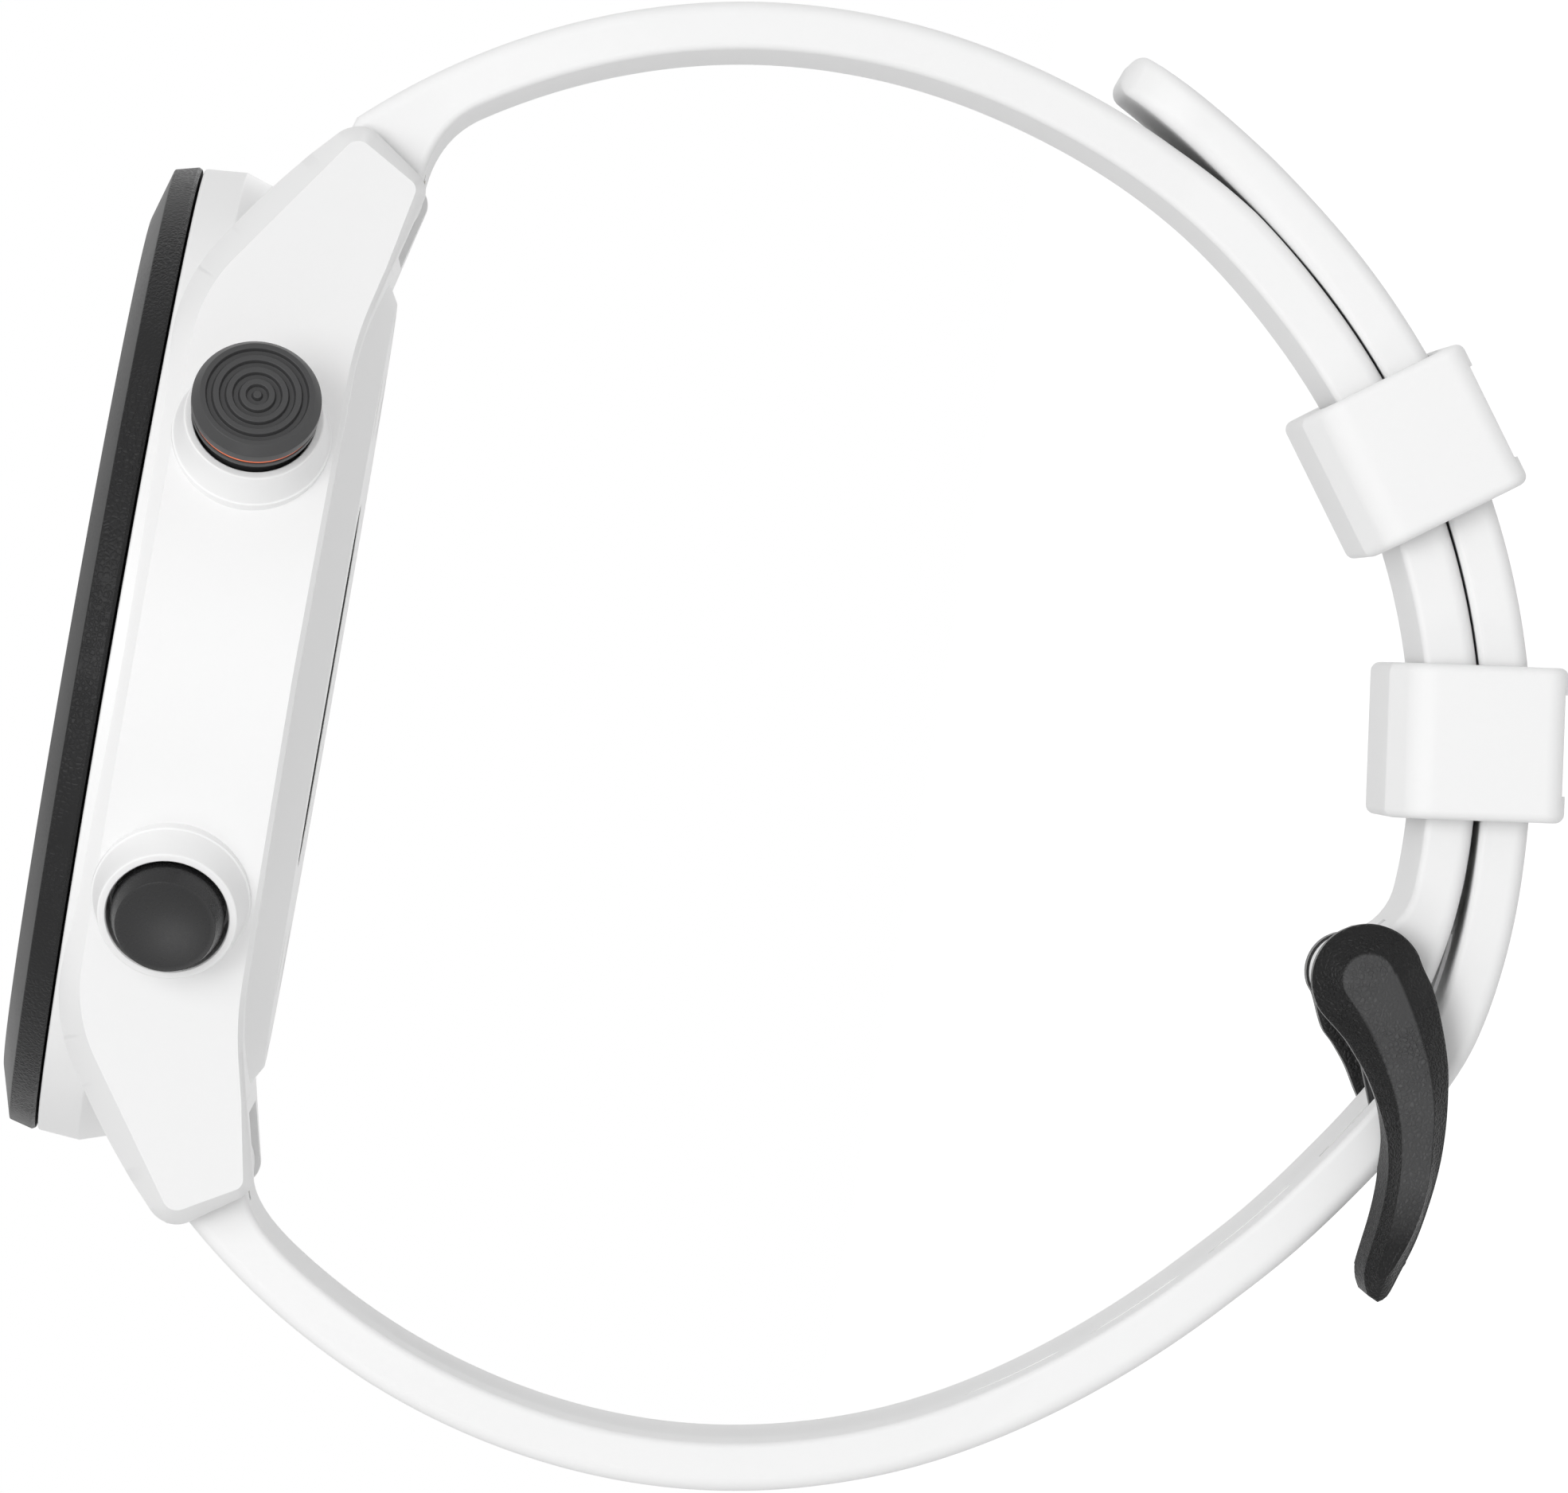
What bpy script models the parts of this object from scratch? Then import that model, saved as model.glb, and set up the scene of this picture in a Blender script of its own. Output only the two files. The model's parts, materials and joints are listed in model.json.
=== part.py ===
"""A GPS sports watch, buckled closed: round case, buttons, electronics, silicone strap and tang buckle.

The origin is the middle of the case back. +X points to 3 o'clock, +Y to 12 o'clock and +Z out of the
display. Strap places are given by an angle and a radius about the strap loop's axis, which lies along X:
angle 0 is straight below the case and positive angles lead up to 12 o'clock.
"""

from math import atan2, cos, degrees, pi, radians, sin, sqrt, tan

import bmesh
import bpy
from mathutils import Matrix, Vector

MM = 0.001
WELD = 0.004 * MM

# Facets of round shapes
RING_STEPS = 48
CAP_STEPS = 20
PIN_STEPS = 12
ARC_STEP = 4.0
CORNER_STEPS = 3

# Fits
SEAT_GAP = 0.3 * MM
SLIDE_GAP = 0.2 * MM
BEZEL_GROOVE = 0.12 * MM

# Case: heights above the back, radii about Z
CAVITY_RADIUS = 18.3 * MM
CASE_WALL = 1.6 * MM
COVER_MARGIN = 1.7 * MM
COVER_FLANGE = 0.6 * MM
COVER_THICKNESS = 1.2 * MM
BACK_RIM = 0.75 * MM
BACK_CONE_HEIGHT = 1.45 * MM
CARRIER_STEP = 0.9 * MM
CARRIER_SEAT_DEPTH = 1.2 * MM
BEZEL_STEP = 1.3 * MM
BEZEL_SEAT_DEPTH = 1.0 * MM
FRONT_WALL = 1.35 * MM
FRONT_RING_FLARE = 0.15 * MM
FRONT_RING_HEIGHT = 1.9 * MM
CASE_TOP = 9.5 * MM
RING_UNDERCUT = 4.9 * MM
RING_LIP_INSET = 0.4 * MM
RING_LIP_DROP = 1.2 * MM
GASKET_HEIGHT = 0.3 * MM
GASKET_WIDTH = 0.5 * MM

# Side band and lugs
BAND_STEP = 0.5 * MM
BAND_TOP = 9.4 * MM
BAND_SHOULDER = 7.0 * MM
BAND_CHAMFER = 0.75 * MM
BAR_INSET = 0.2 * MM
BAR_Z = 1.8 * MM
LUG_REACH = 2.6 * MM
LUG_WALL = 2.4 * MM
LUG_HOLE_DEPTH = 1.2 * MM
LUG_TIP_FILLET = 0.3 * MM
LUG_TIP_RISE = 1.3 * MM
LUG_HEEL_REACH = 0.3 * MM
LUG_HEEL_DROP = 2.25 * MM
LUG_HEEL_FILLET = 0.6 * MM
LUG_BACK_RUN = 4.0 * MM
LUG_BACK_SINK = 0.6 * MM
LUG_ROOT_RUN = 6.4 * MM
LUG_ROOT_SINK = 0.05 * MM

# Bezel, lens and display
BEZEL_SIDE_HEIGHT = 1.2 * MM
BEZEL_SHOULDER_INSET = 0.25 * MM
BEZEL_RIM_INSET = 1.15 * MM
BEZEL_HEIGHT = 1.85 * MM
BEZEL_WINDOW_INSET = 1.55 * MM
BEZEL_SKIRT = 0.35 * MM
LENS_THICKNESS = 1.2 * MM
LENS_INSET = 0.1 * MM
LENS_SEAL_HEIGHT = 0.2 * MM
LENS_LEDGE = 0.6 * MM
DISPLAY_MARGIN = 0.6 * MM
DISPLAY_THICKNESS = 1.1 * MM
CARRIER_THICKNESS = 0.8 * MM
ANTENNA_WIDTH = 0.9 * MM
ANTENNA_HEIGHT = 0.4 * MM
ANTENNA_GAP_ANGLE = 24.0

# Board, battery and what sits on the back cover
BOARD_THICKNESS = 0.7 * MM
BOARD_MARGIN = 1.3 * MM
SHIELD_MARGIN = 9.5 * MM
SHIELD_CORNER = 1.0 * MM
SHIELD_HEIGHT = 1.4 * MM
BATTERY_WIDTH_SHARE = 1.071
BATTERY_LENGTH_SHARE = 1.1475
BATTERY_CORNER = 2.0 * MM
BATTERY_HEIGHT = 2.4 * MM
BATTERY_GAP = 1.1 * MM
COIN_RADIUS = 3.1 * MM
COIN_MARGIN = 0.8 * MM
MOTOR_HEIGHT = 2.6 * MM
BUZZER_HEIGHT = 0.7 * MM

# Charging recess and contacts in the back
RECESS_WIDTH = 10.6 * MM
RECESS_LENGTH = 16.0 * MM
RECESS_DEPTH = 0.4 * MM
RECESS_X = 6.2 * MM
PIN_COUNT = 4
PIN_PITCH = 2.6 * MM
PIN_RADIUS = 0.7 * MM
PIN_X = 9.4 * MM
PIN_LENGTH = 2.2 * MM
BLOCK_WIDTH = 3.4 * MM
BLOCK_HEIGHT = 1.6 * MM

# Back screws
SCREW_MARGIN = 3.8 * MM
SCREW_ANGLES = (60.0, 120.0, 240.0, 300.0)
SCREW_HEAD_RADIUS = 1.2 * MM
SCREW_HEAD_HEIGHT = 0.6 * MM
SCREW_SINK = 0.1 * MM
SCREW_RADIUS = 0.6 * MM
SCREW_LENGTH = 4.0 * MM
POST_RADIUS = 1.8 * MM

# Buttons, each along its own radial axis
BUTTON_ANGLES = {"start": 27.0, "back": -27.0, "light": 153.0, "up": 180.0, "down": 207.0}
BUTTON_Z = 5.1 * MM
BUTTON_TRAVEL = 0.5 * MM
BOSS_BASE_RADIUS = 3.6 * MM
BOSS_LIP_RADIUS = 3.08 * MM
BOSS_RISE = 1.86 * MM
BORE_RADIUS = 2.7 * MM
BORE_DEPTH = 1.95 * MM
SEAL_POCKET_RADIUS = 1.85 * MM
SEAL_POCKET_DEPTH = 1.35 * MM
SEAL_CORD_RADIUS = 0.35 * MM
STEM_RADIUS = 0.9 * MM
CLIP_RADIUS = 2.0 * MM
CLIP_THICKNESS = 0.5 * MM
STEM_TAIL = 0.5 * MM
PISTON_HEIGHT = 1.74 * MM
START_HEAD_RADIUS = 2.86 * MM
START_FACE_RADIUS = 2.57 * MM
START_HEAD_HEIGHT = 1.5 * MM
START_FACE_CHAMFER = 0.13 * MM
ACCENT_HEIGHT = 0.26 * MM
ACCENT_DEPTH = 0.3 * MM
ACCENT_DROP = 0.87 * MM
ACCENT_GAP = 0.05 * MM
GROOVE_COUNT = 4
GROOVE_FIRST = 0.345 * MM
GROOVE_PITCH = 0.585 * MM
GROOVE_WIDTH = 0.27 * MM
GROOVE_DEPTH = 0.14 * MM
FLUSH_FACE_RADIUS = 2.2 * MM
FLUSH_FACE_RISE = 0.95 * MM
FLUSH_FACE_DISH = 0.12 * MM
SWITCH_DEPTH = 2.6 * MM
SWITCH_WIDTH = 3.8 * MM
SWITCH_HEIGHT = 1.8 * MM

# Strap loop: inner radius where the keepers ride, with the rise of each half over it
STRAP_WIDTH = 20.0 * MM
STRAP_TAPER = 4.0 * MM
TAPER_TOP = 10.6 * MM
TAPER_BOTTOM = 15.4 * MM
STRAP_THICKNESS = 2.15 * MM
STRAP_EDGE = 0.45 * MM
LOOP_RADIUS = 30.45 * MM
LOOP_Y = 0.5 * MM
BAR_DROP = 0.59 * MM
LAYER_GAP = 0.28 * MM
KNUCKLE_RADIUS = 2.05 * MM
KNUCKLE_STEP = 22.5
FILLET_REACH = 2.5 * MM
LUG_OUTER_ANGLE = 1.6
LUG_INNER_ANGLE = 11.0
UPPER_STATIONS = (
    (-10.0, -0.3 * MM),
    (-4.0, -0.08 * MM),
    (4.0, 0.0),
    (47.0, 0.0),
    (60.0, 0.16 * MM),
    (75.0, 0.22 * MM),
    (88.0, 0.37 * MM),
    (100.0, 0.44 * MM),
    (113.0, 0.36 * MM),
    (133.0, 0.12 * MM),
)
LOWER_STATIONS = (
    (-133.0, -0.3 * MM),
    (-105.0, 0.2 * MM),
    (-86.0, 0.43 * MM),
    (-70.0, 0.33 * MM),
    (-52.0, 0.04 * MM),
    (-40.0, 0.2 * MM),
    (-32.0, 0.66 * MM),
    (-26.0, 1.12 * MM),
)
# The tail that lies over the upper half: each rise is over the layer it would rest on
TAIL_STATIONS = (
    (-21.0, -0.78 * MM),
    (-17.0, -0.32 * MM),
    (-12.5, 0.06 * MM),
    (-6.0, 0.13 * MM),
    (4.0, 0.02 * MM),
    (25.0, 0.0),
    (47.0, 0.0),
    (58.0, 0.14 * MM),
    (71.0, 0.86 * MM),
)
TAIL_TAPER_ANGLE = 58.0
TAIL_TIP_THICKNESS = 1.9 * MM
TAIL_CORNER = 5.0 * MM
HOLE_LENGTH = 4.9 * MM
HOLE_WIDTH = 2.6 * MM
HOLE_PITCH_ANGLE = 11.9
HOLES_BEFORE = 3
HOLES_AFTER = 6
USED_HOLE_ANGLE = -21.1

# Keepers
KEEPER_ANGLES = {"upper": 33.8, "lower": 10.2}
KEEPER_TILTS = {"upper": 2.4, "lower": -2.4}
KEEPER_LENGTH = 6.9 * MM
KEEPER_INNER_WALL = 1.45 * MM
KEEPER_OUTER_WALL = 1.15 * MM
KEEPER_SIDE_WALL = 1.7 * MM
KEEPER_SLACK = 0.45 * MM
KEEPER_EDGE = 0.6 * MM
KEEPER_PANEL = 4.5 * MM
KEEPER_PANEL_DEPTH = 0.3 * MM

# Buckle
BUCKLE_ANGLE = -10.6
BUCKLE_DROP = 0.95 * MM
BUCKLE_BAR_RADIUS = 0.75 * MM
ARM_THICKNESS = 2.4 * MM
# The near arm has a round cap over the bar's end, and the far arm a plain eye
ARM_CAP_RADIUS = 2.5 * MM
ARM_EYE_RADIUS = 1.73 * MM
BUCKLE_KNUCKLE_RADIUS = 1.8 * MM
ARM_EDGE = 0.3 * MM
ARM_HOLE_DEPTH = 1.5 * MM
ARM_CURVE_STEPS = 3
# Each point of the arm's outline: degrees past the bar, and its height over the bar's radius
ARM_TIP_OUTLINE = (
    (5.4, 0.0),
    (7.4, 1.7 * MM),
    (10.1, 3.4 * MM),
    (13.4, 4.82 * MM),
    (16.8, 5.75 * MM),
    (19.5, 6.4 * MM),
    (20.8, 7.1 * MM),
    (20.2, 7.9 * MM),
    (18.2, 7.75 * MM),
    (13.0, 6.94 * MM),
    (8.0, 5.85 * MM),
    (3.6, 4.63 * MM),
    (-0.6, 3.1 * MM),
)
ARM_INNER_POINTS = 6
FAR_ARM_SLIM = 0.5 * MM
TIP_BAR_ANGLE = -29.3
TIP_BAR_RISE = 6.2 * MM
TIP_BAR_LENGTH = 2.0 * MM
TIP_BAR_THICKNESS = 1.1 * MM
TIP_NOTCH_DEPTH = 0.65 * MM
TONGUE_WIDTH = 1.8 * MM
TONGUE_THICKNESS = 0.8 * MM
TONGUE_RING_WALL = 0.75 * MM
TONGUE_SLOT_LENGTH = 5.6 * MM
# Each point of the tongue's middle line: loop angle, and its height over the loop radius
TONGUE_LINE = (
    (-12.2, -0.8 * MM),
    (-15.5, 0.4 * MM),
    (-19.6, 2.2 * MM),
    (-23.0, 3.95 * MM),
    (-25.6, 5.6 * MM),
    (-28.0, 6.7 * MM),
    (-31.0, 6.85 * MM),
)

# Quick-release spring bars
TUBE_RADIUS = 1.0 * MM
TUBE_BORE_RADIUS = 0.72 * MM
TUBE_BORE_LENGTH = 7.8 * MM
TIP_RADIUS = 0.45 * MM
TUBE_SHORT = 0.6 * MM
LEVER_X = 6.0 * MM
LEVER_KNOB_RADIUS = 0.55 * MM
LEVER_KNOB_RISE = 0.1 * MM
LEVER_TRAVEL = 1.2 * MM
LEVER_PIN_LENGTH = 8.0 * MM

# Places worked out from the sizes above
COVER_RADIUS = CAVITY_RADIUS - COVER_MARGIN
BACK_FLAT_RADIUS = COVER_RADIUS + BACK_RIM
CARRIER_SEAT_RADIUS = CAVITY_RADIUS + CARRIER_STEP
BEZEL_SEAT_RADIUS = CARRIER_SEAT_RADIUS + BEZEL_STEP
FRONT_RING_TOP_RADIUS = BEZEL_SEAT_RADIUS + FRONT_WALL
FRONT_RING_RADIUS = FRONT_RING_TOP_RADIUS + FRONT_RING_FLARE
SIDE_RADIUS = FRONT_RING_RADIUS + BAND_STEP
BAR_Y = SIDE_RADIUS - BAR_INSET
BEZEL_SHOULDER_RADIUS = FRONT_RING_TOP_RADIUS - BEZEL_SHOULDER_INSET
BEZEL_RIM_RADIUS = BEZEL_SEAT_RADIUS - BEZEL_RIM_INSET
BEZEL_WINDOW_RADIUS = BEZEL_RIM_RADIUS - BEZEL_WINDOW_INSET
DISPLAY_RADIUS = BEZEL_WINDOW_RADIUS - DISPLAY_MARGIN
BOARD_RADIUS = CAVITY_RADIUS - BOARD_MARGIN
SHIELD_SIDE = 2 * (BOARD_RADIUS - SHIELD_MARGIN)
BATTERY_WIDTH = CAVITY_RADIUS * BATTERY_WIDTH_SHARE
BATTERY_LENGTH = CAVITY_RADIUS * BATTERY_LENGTH_SHARE
BATTERY_X = PIN_X - BLOCK_WIDTH / 2 - BATTERY_GAP - BATTERY_WIDTH / 2
COIN_Y = CAVITY_RADIUS - COIN_RADIUS - COIN_MARGIN
SCREW_CIRCLE = CAVITY_RADIUS - SCREW_MARGIN
COVER_CLEAR = COVER_THICKNESS + SEAT_GAP
BOSS_LIP = SIDE_RADIUS + BOSS_RISE
BORE_FLOOR = BOSS_LIP - BORE_DEPTH
STEM_HOLE_RADIUS = STEM_RADIUS + SEAT_GAP
CLIP_TOP = CAVITY_RADIUS - SEAT_GAP
STEM_END = CLIP_TOP - CLIP_THICKNESS - STEM_TAIL
SWITCH_FACE = STEM_END - BUTTON_TRAVEL - SLIDE_GAP
PISTON_BOTTOM = BORE_FLOOR + BUTTON_TRAVEL + SEAT_GAP
PISTON_TOP = PISTON_BOTTOM + PISTON_HEIGHT
PISTON_RADIUS = BORE_RADIUS - SLIDE_GAP
BOARD_BOTTOM = BUTTON_Z + STEM_RADIUS + 1.3 * SEAT_GAP
SWITCH_TOP = BOARD_BOTTOM - SEAT_GAP
BEZEL_BOTTOM = CASE_TOP + BEZEL_GROOVE
BEZEL_TOP = BEZEL_BOTTOM + BEZEL_HEIGHT
LENS_TOP = BEZEL_TOP - LENS_INSET
LENS_BOTTOM = LENS_TOP - LENS_THICKNESS
LEDGE_TOP = LENS_BOTTOM - LENS_SEAL_HEIGHT - SLIDE_GAP
LEDGE_BOTTOM = LEDGE_TOP - LENS_LEDGE
BEZEL_SEAT_Z = CASE_TOP - BEZEL_SEAT_DEPTH
CARRIER_SEAT_Z = BEZEL_SEAT_Z - CARRIER_SEAT_DEPTH
CARRIER_BOTTOM = CARRIER_SEAT_Z + SLIDE_GAP
CARRIER_TOP = CARRIER_BOTTOM + CARRIER_THICKNESS
DISPLAY_BOTTOM = CARRIER_TOP + SEAT_GAP
COVER_LEDGE_Z = COVER_FLANGE + GASKET_HEIGHT + SLIDE_GAP
CASE_FLOOR_Z = COVER_THICKNESS + SEAT_GAP + 2 * SLIDE_GAP
COVER_PLUG_RADIUS = COVER_RADIUS - GASKET_WIDTH - SLIDE_GAP
LOOP_Z = BAR_Z - sqrt((LOOP_RADIUS - BAR_DROP) ** 2 - (BAR_Y - LOOP_Y) ** 2)
STRAP_END_WIDTH = STRAP_WIDTH - STRAP_TAPER
TAPER_START_Z = LOOP_Z + TAPER_TOP
TAPER_END_Z = LOOP_Z - TAPER_BOTTOM
TAIL_RISE = STRAP_THICKNESS + LAYER_GAP
TAIL_TIP_ANGLE = TAIL_STATIONS[-1][0]
BUCKLE_RADIUS = LOOP_RADIUS - BUCKLE_DROP
ARM_INNER_X = STRAP_END_WIDTH / 2 + 2 * SLIDE_GAP
LUG_INNER_X = STRAP_WIDTH / 2 + SLIDE_GAP
LUG_TIP_Y = BAR_Y + LUG_REACH
SLOT_FLOOR_RADIUS = CAVITY_RADIUS + CASE_WALL
BAR_HOLE_RADIUS = TUBE_RADIUS + SEAT_GAP
BUCKLE_HOLE_RADIUS = BUCKLE_BAR_RADIUS + SEAT_GAP

# Outlines in the YZ plane are extruded along X
ALONG_X = Matrix(((0, 0, 1, 0), (1, 0, 0, 0), (0, 1, 0, 0), (0, 0, 0, 1)))
# Outlines in the XZ plane are extruded along Y
ALONG_Y = Matrix(((1, 0, 0, 0), (0, 0, -1, 0), (0, 1, 0, 0), (0, 0, 0, 1)))

FINISHES = {
    "white_polymer": ((0.86, 0.86, 0.86), 0.45, 0.0),
    "white_silicone": ((0.88, 0.88, 0.88), 0.6, 0.0),
    "black_polymer": ((0.03, 0.03, 0.032), 0.5, 0.0),
    "button_grey": ((0.06, 0.06, 0.062), 0.4, 0.0),
    "accent_orange": ((0.75, 0.12, 0.03), 0.4, 0.0),
    "lens_glass": ((0.02, 0.02, 0.025), 0.05, 0.0),
    "display_dark": ((0.02, 0.022, 0.02), 0.3, 0.0),
    "seal_rubber": ((0.03, 0.03, 0.03), 0.8, 0.0),
    "steel": ((0.6, 0.6, 0.58), 0.3, 1.0),
    "gold_contact": ((0.8, 0.6, 0.25), 0.25, 1.0),
    "board_green": ((0.02, 0.12, 0.05), 0.5, 0.0),
    "cell_foil": ((0.55, 0.56, 0.58), 0.35, 0.8),
}


def start_scene():
    """Empty the scene and give it the collection of the watch, with an empty that carries its parts."""
    for obj in list(bpy.data.objects):
        bpy.data.objects.remove(obj)
    watch = bpy.data.collections.new("gps_watch")
    bpy.context.scene.collection.children.link(watch)
    for name, (colour, roughness, metallic) in FINISHES.items():
        made = bpy.data.materials.new(name)
        made.use_nodes = True
        shader = made.node_tree.nodes["Principled BSDF"]
        shader.inputs["Base Color"].default_value = (*colour, 1)
        shader.inputs["Roughness"].default_value = roughness
        shader.inputs["Metallic"].default_value = metallic
    return watch


def placed(name, data, matrix):
    """A new object in the watch's collection, placed by a matrix."""
    obj = bpy.data.objects.new(name, data)
    bpy.data.collections["gps_watch"].objects.link(obj)
    obj.matrix_world = matrix
    return obj


def settle(obj):
    """Apply the object's modifiers, or turn a curve into a welded mesh, with every face pointing out."""
    graph = bpy.context.evaluated_depsgraph_get()
    mesh = bpy.data.meshes.new_from_object(obj.evaluated_get(graph))
    shape = bmesh.new()
    shape.from_mesh(mesh)
    bmesh.ops.remove_doubles(shape, verts=shape.verts, dist=WELD)
    bmesh.ops.recalc_face_normals(shape, faces=shape.faces)
    shape.to_mesh(mesh)
    shape.free()
    name, matrix = obj.name, obj.matrix_world.copy()
    bpy.data.objects.remove(obj)
    return placed(name, mesh, matrix)


def finished(obj, finish, parent=None):
    """Give a part its material and smooth shading, and hang it on an empty where it moves."""
    obj.data.materials.clear()
    obj.data.materials.append(bpy.data.materials[finish])
    obj.data.shade_smooth()
    obj.data.set_sharp_from_angle(angle=radians(35))
    if parent:
        bpy.context.view_layer.update()
        obj.parent = parent
        obj.matrix_parent_inverse = parent.matrix_world.inverted()
    return obj


def turned(name, profile, steps=RING_STEPS, matrix=Matrix()):
    """A solid turned about local Z. The (radius, height) points run down its outer side."""
    mesh = bpy.data.meshes.new(name)
    edges = [(i, i + 1) for i in range(len(profile) - 1)]
    if profile[0][0] > 0:
        edges.append((len(profile) - 1, 0))
    mesh.from_pydata([(radius, 0, height) for radius, height in profile], edges, [])
    obj = placed(name, mesh, matrix)
    screw = obj.modifiers.new("turn", "SCREW")
    screw.steps = screw.render_steps = steps
    screw.use_merge_vertices = True
    screw.merge_threshold = WELD
    return settle(obj)


def ring(name, inner, outer, low, high, steps=RING_STEPS, matrix=Matrix()):
    """A flat ring between two radii and two heights."""
    return turned(name, ((outer, high), (outer, low), (inner, low), (inner, high)), steps, matrix)


def disc(name, radius, low, high, steps=RING_STEPS, matrix=Matrix()):
    """A round plate or rod between two heights along local Z."""
    shape = bmesh.new()
    middle = Matrix.Translation((0, 0, (low + high) / 2))
    bmesh.ops.create_cone(
        shape, cap_ends=True, segments=steps, radius1=radius, radius2=radius, depth=high - low, matrix=middle
    )
    mesh = bpy.data.meshes.new(name)
    shape.to_mesh(mesh)
    shape.free()
    return placed(name, mesh, matrix)


def box(name, low, high, matrix=Matrix()):
    """A block between two corners."""
    shape = bmesh.new()
    low, high = Vector(low), Vector(high)
    place = Matrix.Translation((low + high) / 2) @ Matrix.Diagonal((*(high - low), 1))
    bmesh.ops.create_cube(shape, size=1, matrix=place)
    mesh = bpy.data.meshes.new(name)
    shape.to_mesh(mesh)
    shape.free()
    return placed(name, mesh, matrix)


def extruded(name, outline, depth, matrix=Matrix(), smooth_steps=0):
    """A flat outline made a plate of the given depth, as a polygon or as a smooth curve through its points."""
    curve = bpy.data.curves.new(name, "CURVE")
    curve.dimensions = "2D"
    curve.fill_mode = "BOTH"
    curve.extrude = depth / 2
    curve.resolution_u = max(smooth_steps, 1)
    spline = curve.splines.new("BEZIER" if smooth_steps else "POLY")
    points = spline.bezier_points if smooth_steps else spline.points
    points.add(len(outline) - 1)
    for point, (u, v) in zip(points, outline):
        if smooth_steps:
            point.co = (u, v, 0)
            point.handle_left_type = point.handle_right_type = "AUTO"
        else:
            point.co = (u, v, 0, 1)
    spline.use_cyclic_u = True
    return whole_faces(settle(placed(name, curve, matrix)))


def whole_faces(obj):
    """Make each flat end of an extruded solid one face, so that a bevel offsets its whole outline."""
    shape = bmesh.new()
    shape.from_mesh(obj.data)
    flat = [edge for edge in shape.edges if degrees(edge.calc_face_angle(pi)) < 0.01]
    bmesh.ops.dissolve_edges(shape, edges=flat, use_verts=False)
    shape.to_mesh(obj.data)
    shape.free()
    return obj


def combine(obj, other, operation):
    """Join, cut or intersect a solid with another, which is used up."""
    modifier = obj.modifiers.new(other.name, "BOOLEAN")
    modifier.operation = operation
    modifier.object = other
    made = settle(obj)
    bpy.data.objects.remove(other)
    return made


def join(obj, other):
    return combine(obj, other, "UNION")


def cut(obj, other):
    return combine(obj, other, "DIFFERENCE")


def bevelled(obj, width, segments=1, least_angle=50.0, chosen=None):
    """Round or chamfer the sharp edges of a solid, or only those whose middle is chosen."""
    shape = bmesh.new()
    shape.from_mesh(obj.data)
    edges = [edge for edge in shape.edges if degrees(edge.calc_face_angle(0)) > least_angle]
    if chosen:
        edges = [edge for edge in edges if chosen(obj.matrix_world @ (edge.verts[0].co + edge.verts[1].co) / 2)]
    bmesh.ops.bevel(
        shape, geom=edges, offset=width, segments=segments, profile=0.5, affect="EDGES", clamp_overlap=False
    )
    shape.to_mesh(obj.data)
    shape.free()
    return settle(obj)


def polar(angle):
    """Unit direction in the plane of an outline, for an angle in degrees from its first axis."""
    return Vector((cos(radians(angle)), sin(radians(angle))))


def arc(centre, radius, start, end, steps):
    """Points along an arc, both ends included."""
    return [centre + radius * polar(start + (end - start) * i / steps) for i in range(steps + 1)]


def swept_curve(start, pull, end, steps=CORNER_STEPS):
    """Points of a quadratic curve between two points, without its ends."""
    made = []
    for i in range(1, steps):
        t = i / steps
        made.append((1 - t) ** 2 * start + 2 * t * (1 - t) * pull + t * t * end)
    return made


def rounded(corners):
    """An outline with a fillet at each (point, radius) corner whose radius isn't zero."""
    made = []
    for i, (point, radius) in enumerate(corners):
        point = Vector(point)
        before = (Vector(corners[i - 1][0]) - point).normalized()
        after = (Vector(corners[(i + 1) % len(corners)][0]) - point).normalized()
        if radius == 0:
            made.append(point)
            continue
        half = before.angle(after) / 2
        start, end = point + before * radius / tan(half), point + after * radius / tan(half)
        made += [start, *swept_curve(start, point, end), end]
    return made


def loop_direction(angle):
    """Unit direction in the YZ plane that points out of the strap loop at a loop angle."""
    return Vector((sin(radians(angle)), -cos(radians(angle))))


def loop_point(angle, radius):
    """The (y, z) place of a loop angle and radius."""
    return Vector((LOOP_Y, LOOP_Z)) + radius * loop_direction(angle)


def loop_frame(angle):
    """A frame on the strap loop's axis whose -Z points out of the loop at a loop angle."""
    return Matrix.Translation((0, LOOP_Y, LOOP_Z)) @ Matrix.Rotation(radians(angle), 4, "X")


def button_frame(angle):
    """A frame on the case's axis at button height, whose Z points out along the button."""
    turn = Matrix.Rotation(radians(angle), 4, "Z") @ Matrix.Rotation(pi / 2, 4, "Y")
    return Matrix.Translation((0, 0, BUTTON_Z)) @ turn


def station_rise(stations, angle):
    """The rise at a loop angle on a smooth curve through the stations."""
    count = len(stations)
    index = max(i for i in range(count - 1) if i == 0 or stations[i][0] <= angle)

    def slope(i):
        low, high = stations[max(i - 1, 0)], stations[min(i + 1, count - 1)]
        return (high[1] - low[1]) / (high[0] - low[0])

    (a0, r0), (a1, r1) = stations[index], stations[index + 1]
    span = a1 - a0
    t = (angle - a0) / span
    level = (1 - t) ** 2 * ((1 + 2 * t) * r0 + t * span * slope(index))
    return level + t * t * ((3 - 2 * t) * r1 - (1 - t) * span * slope(index + 1))


def angles_between(start, end):
    """Evenly spaced angles, both ends included."""
    steps = max(2, round(abs(end - start) / ARC_STEP))
    return [start + (end - start) * i / steps for i in range(steps + 1)]


def bar_angle(side):
    """The loop angle of a spring bar: side 1 is at 12 o'clock and side -1 at 6 o'clock."""
    return degrees(atan2(side * BAR_Y - LOOP_Y, LOOP_Z - BAR_Z))


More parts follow.
